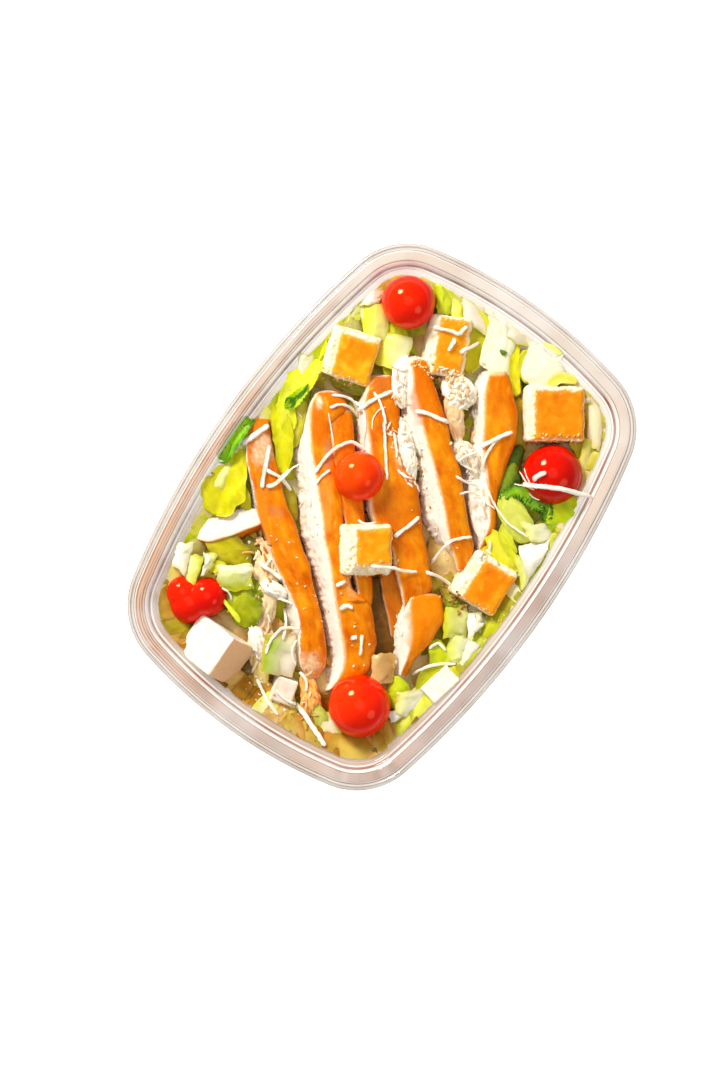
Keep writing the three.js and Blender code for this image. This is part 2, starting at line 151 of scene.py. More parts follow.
def cells(p, seed=0):
    """Distance to the nearest and second nearest scattered point, and the nearest one's number."""
    p = np.asarray(p, float)
    base = np.floor(p).astype(np.int64)
    best = np.full(p.shape[:-1], 9.0)
    second = best.copy()
    name = np.zeros(p.shape[:-1])
    for dx in (-1, 0, 1):
        for dy in (-1, 0, 1):
            for dz in (-1, 0, 1):
                c = base + [dx, dy, dz]
                h = _hash(c & 0xFFFFFFFF, seed)
                at = c + np.stack(
                    [
                        (h & np.uint32(1023)) / 1023.0,
                        ((h >> np.uint32(10)) & np.uint32(1023)) / 1023.0,
                        ((h >> np.uint32(20)) & np.uint32(1023)) / 1023.0,
                    ],
                    -1,
                )
                d = np.sqrt(((p - at) ** 2).sum(-1))
                closer = d < best
                second = np.where(closer, best, np.minimum(second, d))
                name = np.where(closer, (h % np.uint32(997)) / 997.0, name)
                best = np.where(closer, d, best)
    return best, second, name


def xyz(*parts):
    return np.stack(np.broadcast_arrays(*[np.asarray(q, float) for q in parts]), -1)


def rows_at(rows, t):
    """Rows of numbers, smoothly interpolated (Catmull-Rom) at t in 0..1 along them."""
    rows = np.asarray(rows, float)
    n = len(rows) - 1
    x = np.clip(np.asarray(t, float), 0, 1) * n
    i = np.clip(np.floor(x).astype(int), 0, n - 1)
    f = (x - i)[..., None]
    at = lambda k: rows[np.clip(i + k, 0, n)]
    a, b, c, d = at(-1), at(0), at(1), at(2)
    return b + 0.5 * f * (c - a + f * (2 * a - 5 * b + 4 * c - d + f * (3 * (b - c) + d - a)))


# ------------------------------------------------------------------ meshes

EVERYTHING = []  # (points mm, faces) of every piece made so far, for what lies on them


def grid_faces(nu, nv, closed_v=False, first=0):
    i = np.arange(nu - 1)[:, None]
    j = np.arange(nv if closed_v else nv - 1)[None, :]
    k = (j + 1) % nv
    a = first + i * nv + j
    b = first + i * nv + k
    return np.stack([a, b, b + nv, a + nv], -1).reshape(-1, 4)


class Build:
    """Collects parts of one mesh: points in mm, faces, and a colour for each point."""

    def __init__(self):
        self.points, self.faces, self.colours, self.extra, self.n = [], [], [], [], 0

    def add(self, points, faces, colours, extra=0.0):
        points = np.asarray(points, float).reshape(-1, 3)
        colours = np.broadcast_to(np.asarray(colours, float), points.shape)
        self.points.append(points)
        self.colours.append(colours)
        self.extra.append(np.broadcast_to(np.asarray(extra, float), (len(points),)))
        for f in faces if isinstance(faces, list) else [faces]:
            f = np.asarray(f)
            if len(f):
                self.faces.append(f + self.n)
        self.n += len(points)

    def object(self, name, material, slot, lies=True, crisp=None):
        points = np.concatenate(self.points)
        colours = np.concatenate(self.colours)
        faces = [list(map(int, f)) for block in self.faces for f in block]
        me = bpy.data.meshes.new(name)
        me.from_pydata((points / 1000).tolist(), [], faces)
        me.validate()
        me.polygons.foreach_set("use_smooth", [True] * len(me.polygons))
        if crisp:
            me.set_sharp_from_angle(angle=math.radians(crisp))
        col = me.color_attributes.new("Col", "FLOAT_COLOR", "POINT")
        col.data.foreach_set(
            "color",
            np.concatenate([np.clip(colours, 0, 1), np.ones((len(points), 1))], 1)
            .astype(np.float32)
            .ravel(),
        )
        extra = me.attributes.new("Zone", "FLOAT", "POINT")
        extra.data.foreach_set("value", np.concatenate(self.extra).astype(np.float32))
        me.materials.append(material)
        ob = bpy.data.objects.new(name, me)
        bpy.context.scene.collection.objects.link(ob)
        me.update()
        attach(ob, "root")
        if lies:
            EVERYTHING.append((points, faces))
        return ob


def normals_of_grid(p, closed_v=False):
    """Normals of a grid of points (nu, nv, 3)."""
    du = np.gradient(p, axis=0)
    if closed_v:
        dv = (np.roll(p, -1, 1) - np.roll(p, 1, 1)) / 2
    else:
        dv = np.gradient(p, axis=1)
    n = np.cross(du, dv)
    return n / np.maximum(np.linalg.norm(n, axis=-1, keepdims=True), 1e-9)


# ------------------------------------------------------------------ materials


def nodes_of(name):
    mat = bpy.data.materials.new(name)
    mat.use_nodes = True
    nt = mat.node_tree
    nt.nodes.clear()
    out = nt.nodes.new("ShaderNodeOutputMaterial")
    return mat, nt, out


def link(nt, a, b):
    nt.links.new(a, b)


def coords(nt, scale=(1, 1, 1), turn=(0, 0, 0)):
    c = nt.nodes.new("ShaderNodeTexCoord")
    m = nt.nodes.new("ShaderNodeMapping")
    m.inputs["Scale"].default_value = scale
    m.inputs["Rotation"].default_value = turn
    link(nt, c.outputs["Object"], m.inputs["Vector"])
    return m.outputs["Vector"]


def noise_node(nt, vector, scale, detail=3.0, rough=0.55, distortion=0.0):
    n = nt.nodes.new("ShaderNodeTexNoise")
    n.inputs["Scale"].default_value = scale
    n.inputs["Detail"].default_value = detail
    n.inputs["Roughness"].default_value = rough
    n.inputs["Distortion"].default_value = distortion
    link(nt, vector, n.inputs["Vector"])
    return n.outputs["Fac"]


def ramp(nt, fac, stops):
    r = nt.nodes.new("ShaderNodeValToRGB")
    e = r.color_ramp.elements
    while len(e) > len(stops):
        e.remove(e[-1])
    while len(e) < len(stops):
        e.new(1.0)
    for k, (at, c) in enumerate(stops):
        e[k].position = at
        e[k].color = (*c, 1.0) if len(c) == 3 else c
    link(nt, fac, r.inputs["Fac"])
    return r.outputs["Color"]


def blend_node(nt, kind, fac, a, b):
    m = nt.nodes.new("ShaderNodeMix")
    m.data_type = "RGBA"
    m.blend_type = kind
    if isinstance(fac, (int, float)):
        m.inputs[0].default_value = fac
    else:
        link(nt, fac, m.inputs[0])
    for socket, v in ((m.inputs[6], a), (m.inputs[7], b)):
        if isinstance(v, tuple):
            socket.default_value = (*v, 1.0)
        else:
            link(nt, v, socket)
    return m.outputs[2]


def math_node(nt, op, a, b=None, clamp=False):
    m = nt.nodes.new("ShaderNodeMath")
    m.operation = op
    m.use_clamp = clamp
    for socket, v in ((m.inputs[0], a), (m.inputs[1], b)):
        if v is None:
            continue
        if isinstance(v, (int, float)):
            socket.default_value = v
        else:
            link(nt, v, socket)
    return m.outputs[0]


def attribute(nt, name, colour=False):
    a = nt.nodes.new("ShaderNodeAttribute")
    a.attribute_name = name
    return a.outputs["Color"] if colour else a.outputs["Fac"]


def food(
    name,
    rough=0.5,
    specular=0.5,
    coat=0.0,
    coat_rough=0.2,
    glow=0.0,
    glow_radius=(0.004, 0.002, 0.001),
    mottle=(),
    bumps=(),
    rough_noise=None,
    zoned=False,
    veins=None,
    tint=None,
):
    """A food surface: its colour comes from the mesh's own colours, broken up by noise.
    mottle: (scale, detail, stretch, dark colour, share, low, high); bumps: (scale, detail, height mm, stretch)."""
    mat, nt, out = nodes_of(name)
    b = nt.nodes.new("ShaderNodeBsdfPrincipled")
    link(nt, b.outputs[0], out.inputs["Surface"])
    colour = attribute(nt, "Col", True)
    for scale, detail, stretch, dark, share, low, high in mottle:
        n = noise_node(nt, coords(nt, stretch), scale, detail)
        mask = ramp(nt, n, [(low, (0, 0, 0)), (high, (1, 1, 1))])
        mask = math_node(nt, "MULTIPLY", mask, share)
        if zoned:
            mask = math_node(nt, "MULTIPLY", mask, attribute(nt, "Zone"))
        colour = blend_node(nt, "MULTIPLY", mask, colour, dark)
    if veins:
        scale, light, share, height = veins
        warp = nt.nodes.new("ShaderNodeTexNoise")
        warp.inputs["Scale"].default_value = scale * 0.7
        at = coords(nt)
        link(nt, at, warp.inputs["Vector"])
        add = nt.nodes.new("ShaderNodeMix")
        add.data_type = "VECTOR"
        add.inputs[0].default_value = 0.004
        link(nt, at, add.inputs[4])
        link(nt, warp.outputs["Color"], add.inputs[5])
        cell = nt.nodes.new("ShaderNodeTexVoronoi")
        cell.feature = "DISTANCE_TO_EDGE"
        cell.inputs["Scale"].default_value = scale
        link(nt, add.outputs[1], cell.inputs["Vector"])
        edge = ramp(nt, cell.outputs["Distance"], [(0.0, (1, 1, 1)), (0.14, (0, 0, 0))])
        colour = blend_node(nt, "MIX", math_node(nt, "MULTIPLY", edge, share), colour, light)
    link(nt, colour, b.inputs["Base Color"])
    b.inputs["Roughness"].default_value = rough
    b.inputs["Specular IOR Level"].default_value = specular
    if tint:
        b.inputs["Specular Tint"].default_value = (*tint, 1)
    b.inputs["Coat Weight"].default_value = coat
    b.inputs["Coat Roughness"].default_value = coat_rough
    if glow:
        b.inputs["Subsurface Weight"].default_value = glow
        b.inputs["Subsurface Radius"].default_value = glow_radius
        b.inputs["Subsurface Scale"].default_value = 1.0
    if rough_noise:
        scale, low, high = rough_noise
        n = noise_node(nt, coords(nt), scale, 3)
        r = nt.nodes.new("ShaderNodeMapRange")
        r.inputs["To Min"].default_value = low
        r.inputs["To Max"].default_value = high
        r.inputs["From Min"].default_value = 0.3
        r.inputs["From Max"].default_value = 0.7
        link(nt, n, r.inputs["Value"])
        link(nt, r.outputs[0], b.inputs["Roughness"])
    normal = None
    if veins:
        bump = nt.nodes.new("ShaderNodeBump")
        bump.inputs["Distance"].default_value = veins[3] / 1000
        link(nt, ramp(nt, cell.outputs["Distance"], [(0.0, (0, 0, 0)), (0.3, (1, 1, 1))]), bump.inputs["Height"])
        normal = bump.outputs[0]
    for scale, detail, height, stretch in bumps:
        n = noise_node(nt, coords(nt, stretch), scale, detail)
        bump = nt.nodes.new("ShaderNodeBump")
        bump.inputs["Strength"].default_value = 1.0
        bump.inputs["Distance"].default_value = height / 1000
        link(nt, n, bump.inputs["Height"])
        if normal is not None:
            link(nt, normal, bump.inputs["Normal"])
        normal = bump.outputs[0]
    if normal is not None:
        link(nt, normal, b.inputs["Normal"])
    return mat


CHICKEN = food(
    "grilled_chicken",
    rough=0.34,
    specular=0.45,
    tint=(1.0, 0.72, 0.16),
    glow=0.12,
    glow_radius=(0.002, 0.0011, 0.0006),
    zoned=True,
    mottle=[
        (260, 4, (1, 1, 1), (0.9, 0.62, 0.3), 0.3, 0.5, 0.68),
        (900, 3, (1, 1, 1), (0.6, 0.3, 0.12), 0.2, 0.66, 0.74),
    ],
    bumps=[(240, 4, 0.42, (1, 1, 1)), (900, 3, 0.06, (1, 1, 1))],
    rough_noise=(300, 0.14, 0.36),
)
TORN = food(
    "torn_chicken",
    rough=0.5,
    specular=0.2,
    tint=(1.0, 0.8, 0.55),
    mottle=[
        (420, 3, (1, 1, 1), (0.9, 0.7, 0.5), 0.2, 0.6, 0.74),
    ],
    bumps=[(300, 3, 0.12, (1, 1, 1)), (1000, 2, 0.04, (1, 1, 1))],
)
BREAD = food(
    "toasted_bread",
    rough=0.62,
    specular=0.2,
    tint=(1.0, 0.8, 0.45),
    mottle=[
        (250, 4, (1, 1, 1), (0.94, 0.78, 0.5), 0.25, 0.5, 0.72),
        (1600, 3, (1, 1, 1), (0.85, 0.6, 0.35), 0.18, 0.62, 0.74),
    ],
    bumps=[(600, 4, 0.1, (1, 1, 1)), (2200, 3, 0.06, (1, 1, 1))],
)
CUBE = food(
    "pale_cube",
    rough=0.5,
    mottle=[(400, 4, (1, 1, 1), (0.93, 0.8, 0.6), 0.3, 0.5, 0.7)],
    bumps=[(500, 4, 0.12, (1, 1, 1))],
)
TOMATO = food(
    "tomato_skin",
    rough=0.1,
    specular=0.4,
    tint=(1.0, 0.55, 0.3),
    mottle=[(120, 3, (1, 1, 1), (0.85, 0.55, 0.4), 0.2, 0.5, 0.75)],
    bumps=[(90, 2, 0.05, (1, 1, 1))],
)
LEAF = food(
    "lettuce_leaf",
    rough=0.34,
    specular=0.3,
    tint=(1.0, 1.0, 0.4),
    glow=0.25,
    glow_radius=(0.003, 0.003, 0.0008),
    mottle=[
        (140, 3, (1, 1, 1), (0.82, 0.88, 0.4), 0.25, 0.5, 0.72),
        (600, 3, (1, 1, 1), (0.86, 0.9, 0.6), 0.15, 0.5, 0.7),
    ],
    veins=(190, (0.95, 0.95, 0.5), 0.03, 0.03),
    bumps=[(150, 3, 0.5, (1, 1, 1)), (700, 3, 0.08, (1, 1, 1))],
)
RIB = food(
    "lettuce_rib",
    rough=0.3,
    specular=0.4,
    tint=(1.0, 1.0, 0.85),
    glow=0.3,
    glow_radius=(0.003, 0.003, 0.0015),
    mottle=[(180, 3, (1, 1, 1), (0.9, 0.92, 0.62), 0.25, 0.5, 0.72)],
    bumps=[(200, 3, 0.3, (1, 1, 1)), (900, 3, 0.06, (1, 1, 1))],
)
CHEESE = food(
    "shredded_cheese",
    rough=0.5,
    specular=0.3,
    glow=0.2,
    glow_radius=(0.002, 0.0015, 0.001),
    mottle=[(600, 3, (1, 1, 1), (1.0, 0.9, 0.7), 0.3, 0.5, 0.7)],
    bumps=[(900, 3, 0.1, (1, 1, 1))],
)


def plastic():
    """Thin clear plastic: mostly see-through, tinted where the rim is thick, glossy; the tint also carries the rim's
    painted light, highlights and reflections.
    """
    mat, nt, out = nodes_of("clear_plastic")
    zone = attribute(nt, "Zone")
    tint = attribute(nt, "Col", True)
    clear = nt.nodes.new("ShaderNodeBsdfTransparent")
    clear.inputs["Color"].default_value = (0.996, 0.994, 0.99, 1)
    body = nt.nodes.new("ShaderNodeBsdfPrincipled")
    body.inputs["Roughness"].default_value = 0.18
    body.inputs["Specular IOR Level"].default_value = 0.25
    link(nt, tint, body.inputs["Base Color"])
    n = noise_node(nt, coords(nt, (1, 1, 0.4)), 60, 2)
    share = math_node(nt, "MULTIPLY", zone, ramp(nt, n, [(0.3, (0.75,) * 3), (0.7, (1.1,) * 3)]), True)
    base = nt.nodes.new("ShaderNodeMixShader")
    link(nt, share, base.inputs[0])
    link(nt, clear.outputs[0], base.inputs[1])
    link(nt, body.outputs[0], base.inputs[2])
    gloss = nt.nodes.new("ShaderNodeBsdfGlossy")
    gloss.inputs["Roughness"].default_value = 0.06
    facing = nt.nodes.new("ShaderNodeLayerWeight")
    facing.inputs["Blend"].default_value = 0.5
    steep = math_node(nt, "POWER", facing.outputs["Facing"], 4.0)
    amount = math_node(nt, "ADD", math_node(nt, "MULTIPLY", steep, 0.4), 0.03, True)
    whole = nt.nodes.new("ShaderNodeMixShader")
    link(nt, amount, whole.inputs[0])
    link(nt, base.outputs[0], whole.inputs[1])
    link(nt, gloss.outputs[0], whole.inputs[2])
    link(nt, whole.outputs[0], out.inputs["Surface"])
    return mat


PLASTIC = plastic()

# ------------------------------------------------------------------ the tray

A, B = 68.75, 95.0
SIDE_BOW, END_BOW = 317.0, 183.0
CORNER, CORNER_LEDGE, BASE_IN, LEDGE_IN = 26.8, 16.8, 21.5, 9.4
NEAR = 14  # steps on each half side, corner and half end


def outline(inset):
    """The tray's outline offset inwards: two bowed sides, two bowed ends and round corners."""
    deep = min(inset, BASE_IN)
    a, b = A - deep, B - deep
    r = max(CORNER - deep, CORNER_LEDGE - 0.35 * (deep - (CORNER - CORNER_LEDGE)))
    side_x, side_r = a - (SIDE_BOW - deep), SIDE_BOW - deep - r
    end_y, end_r = b - (END_BOW - deep), END_BOW - deep - r
    d = math.hypot(side_x, end_y)
    along = (side_r**2 - end_r**2 + d * d) / (2 * d)
    off = math.sqrt(side_r**2 - along**2)
    ux, uy = -side_x / d, end_y / d
    cx, cy = next(
        (x, y)
        for x, y in [
            (side_x + ux * along - k * uy * off, uy * along + k * ux * off) for k in (1, -1)
        ]
        if x > 0 and y > 0
    )
    start, stop = math.atan2(cy, cx - side_x), math.atan2(cy - end_y, cx)
    t = np.linspace(0, start, NEAR, endpoint=False)
    q = [np.stack([side_x + (side_r + r) * np.cos(t), (side_r + r) * np.sin(t)], -1)]
    t = np.linspace(start, stop, 2 * NEAR, endpoint=False)
    q.append(np.stack([cx + r * np.cos(t), cy + r * np.sin(t)], -1))
    t = np.linspace(stop, math.pi / 2, NEAR, endpoint=False)
    q.append(np.stack([(end_r + r) * np.cos(t), end_y + (end_r + r) * np.sin(t)], -1))
    q = np.concatenate(q)  # the quarter from +X to just before +Y
    top = np.array([[0.0, b]])
    second = np.concatenate([top, q[:0:-1] * [-1, 1]])
    half = np.concatenate([q, second])
    ring = np.concatenate([half, -half])
    if inset > BASE_IN:
        ring = ring * max(0.0, (B - inset) / (B - BASE_IN))
    return ring


AROUND = len(outline(0))


def fillet(profile, radius, n=4):
    """Rounds the corners of an open [inset, z] profile."""
    p = np.asarray(profile, float)
    out = [p[0]]
    for a, b, c in zip(p, p[1:], p[2:]):
        la, lc = np.linalg.norm(a - b), np.linalg.norm(c - b)
        r = min(radius, la * 0.45, lc * 0.45)
        s, e = b + (a - b) / la * r, b + (c - b) / lc * r
        for t in np.linspace(0, 1, n):
            out.append((1 - t) ** 2 * s + 2 * t * (1 - t) * b + t * t * e)
    out.append(p[-1])
    return np.array(out)


def dense(profile, pitch, until):
    """More points on a profile where its inset is less than `until`."""
    out = [profile[0]]
    for a, b in zip(profile, profile[1:]):
        n = max(1, int(np.linalg.norm(b - a) / pitch)) if max(a[0], b[0]) < until else 1
        for k in range(1, n + 1):
            out.append(a + (b - a) * k / n)
    return np.array(out)


WALL_IN = np.array(
    [[9.4, 44.9], [11.5, 43.0], [14.1, 27.0], [18.6, 4.4], [20.1, 1.9], [23.1, 1.3]]
)  # the inner face, as the frame has it


def inset_at(z):
    return np.interp(z, WALL_IN[::-1, 1], WALL_IN[::-1, 0])


def make_tray():
    t = 0.55
    inner = [
        (0.05, 42.65), (0.05, 46.6), (0.55, 47.55), (1.35, 47.75), (2.15, 47.1), (2.85, 47.95),
        (6.25, 47.98), (6.95, 47.2), (7.35, 45.5), (7.9, 44.95), (9.2, 44.9), (9.75, 44.55),
        (11.5, 42.6), (12.3, 38.0), (12.75, 36.6), (14.1, 27.0), (16.3, 15.6), (18.6, 4.4),
        (20.1, 1.9), (23.1, 1.25), (29.0, 1.25), (31.0, 1.3), (60.0, 1.3), (94.9, 1.3),
    ]  # fmt: skip
    outer = [
        (0.55, 42.65), (0.6, 46.3), (1.0, 46.9), (1.5, 47.0), (2.2, 46.5), (2.95, 47.4),
        (6.0, 47.42), (6.4, 46.9), (6.8, 45.2), (7.6, 44.4), (9.1, 44.35), (9.35, 44.1),
        (10.95, 42.4), (11.75, 37.9), (12.2, 36.4), (13.5, 26.8), (15.7, 15.4), (18.0, 4.2),
        (19.2, 1.0), (20.9, 0.05), (30.0, 0.05), (30.9, 0.55), (60.0, 0.6), (94.9, 0.6),
    ]  # fmt: skip
    inner, outer = dense(fillet(inner, 0.8), 0.18, 13.0), dense(fillet(outer, 0.8), 0.9, 11.0)
    profile = np.concatenate([inner, outer[::-1]])
    rings = [outline(min(i, 94.99)) for i, _ in profile]
    p = np.stack([np.concatenate([r, np.full((AROUND, 1), z)], 1) for r, (_, z) in zip(rings, profile)])
    nu = len(p)
    # the plastic is thickest and pinkish in the rim, and nearly clear in the walls
    inset, z = profile[:, 0], profile[:, 1]
    is_in = np.arange(nu) < len(inner)
    shade = lin((181, 146, 122))
    # painted light: the rim's tint changes round the tray, lighter at the top and sides and darkest along the lower
    # side, because the lamp stands at the upper left
    painted_light_left, painted_light_top, painted_light_right = lin((212, 172, 142)), lin((206, 186, 166)), lin((226, 198, 172))
    line = lin((90, 48, 22))
    lip = lin((206, 182, 152))
    pale = lin((252, 246, 238))
    warm = lin((220, 158, 96))
    cream = lin((246, 214, 168))
    brown = lin((152, 90, 56))
    amber = lin((150, 96, 20))
    # from the outer edge inwards: where a band ends (mm), its colour, how solid it looks
    # the pale bands are painted highlights along the rim's edges and steps
    bands = [
        (0.38, line, 0.8), (1.2, lip, 0.65), (1.5, line, 0.75), (2.25, lip, 0.65), (2.6, line, 0.9),
        (3.0, pale, 0.7), (6.2, shade, 0.86), (6.55, line, 0.92), (7.4, pale, 0.8), (7.65, line, 0.7),
        (8.35, brown, 0.9), (9.0, pale, 0.8), (9.2, line, 0.9), (9.6, cream, 0.8), (9.8, line, 0.8),
        (10.25, cream, 0.8), (10.42, line, 0.8), (10.8, warm, 0.75), (10.98, line, 0.75), (11.35, cream, 0.7),
        (11.55, line, 0.7), (11.8, warm, 0.5),
    ]  # fmt: skip
    zone = np.full((nu, AROUND), 0.02)
    colour = np.empty((nu, AROUND, 3))
    colour[:] = shade
    turn_ = np.arange(AROUND) / AROUND * 2 * math.pi
    ring_xy = xyz(np.cos(turn_) * 3, np.sin(turn_) * 3, 0.0)
    way = outline(5.0)
    way = way / np.linalg.norm(way, axis=1, keepdims=True)
    rightness, upness = way @ RIGHT, way @ UP
    leftish = step(0.1, 0.8, -0.9 * rightness - 0.1 * upness)
    topmost = step(0.1, 0.9, upness + 0.2 * rightness)
    low_left = step(-0.3, 0.6, -0.5 * rightness - 0.85 * upness)
    tan_side = step(0.3, 0.7, -0.9 * rightness + 0.3 * upness)
    rightish = step(-0.1, 0.4, rightness)
    for k in range(nu):
        if inset[k] < bands[-1][0]:
            j = next(m for m, band in enumerate(bands) if inset[k] < band[0])
            # lines come and go around the rim
            wave = 0.92 + 0.35 * fbm(ring_xy * [1, 1, 0] + [0, 0, j * 3.7], 3, j)
            colour[k] = bands[j][1]
            if bands[j][1] is shade:
                # painted light: each side of the rim takes its own lit or shaded tint, and is darker again where it
                # faces down the picture
                right_ = mix(np.broadcast_to(painted_light_right, (AROUND, 3)), lin((176, 144, 127)), step(0.15, -0.35, upness))
                colour[k] = mix(mix(mix(colour[k], right_, rightish), painted_light_left, tan_side), painted_light_top, topmost)
                # painted reflections: darker streaks across the rim's lower side
                reflection_streaks = fbm(ring_xy * [3, 3, 0], 2, 77)
                colour[k] = colour[k] * (1 + 0.5 * reflection_streaks * step(0.2, 0.9, -upness))[:, None]
                for m, (start, stop, dark) in enumerate([(3.3, 3.7, 0.7), (4.3, 4.7, 0.85), (5.2, 5.6, 0.8)]):
                    if start <= inset[k] < stop:  # the fine steps that show on the left side
                        comes = step(-0.35, 0.15, fbm(ring_xy * 1.3 + [0, 0, m * 2.3], 2, 81 + m))
                        colour[k] = mix(colour[k], lin((122, 76, 50)), dark * comes * tan_side)
            if inset[k] > 8.6:
                # painted refraction: on the lower left the inner bands take the amber of the food seen through the wall
                refracted_food = low_left * (0.7 if bands[j][1] is not pale else 0.25)
                colour[k] = mix(np.broadcast_to(bands[j][1], (AROUND, 3)), amber, refracted_food)
            solid = bands[j][2] * wave + (0.25 * tan_side if bands[j][1] is shade else 0.0)
            zone[k] = np.clip(solid, 0, 1) * (1.0 if is_in[k] else 0.15)
            if inset[k] < 0.6 and z[k] < 46.4:  # the skirt is clear seen from the side
                colour[k], zone[k] = lip, 0.14
            if inset[k] > 9.1:
                zone[k] *= (0.55 + 0.45 * np.maximum(low_left, leftish)) * (1.0 if is_in[k] else 0.3)
    b = Build()
    b.add(p, grid_faces(nu, AROUND, True), colour.reshape(-1, 3), zone.ravel())
    # close the skirt's lower edge
    first, last = np.arange(AROUND), (nu - 1) * AROUND + np.arange(AROUND)
    edge = np.stack([first, last, np.roll(last, -1), np.roll(first, -1)], -1)
    b.faces.append(edge)
    # the two middles
    for ring in (len(inner) - 1, len(inner)):
        b.faces.append((ring * AROUND + np.arange(AROUND))[None, :])
    # faces between the two middles join inner and outer through nothing: drop them
    gap = grid_faces(2, AROUND, True, (len(inner) - 1) * AROUND)
    keep = b.faces[0]
    drop = {tuple(f) for f in gap.tolist()}
    b.faces[0] = np.array([f for f in keep.tolist() if tuple(f) not in drop])
    ob = b.object("tray_shell", PLASTIC, "clear_plastic")
    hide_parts("tray")
    return ob


# ------------------------------------------------------------------ chicken strips

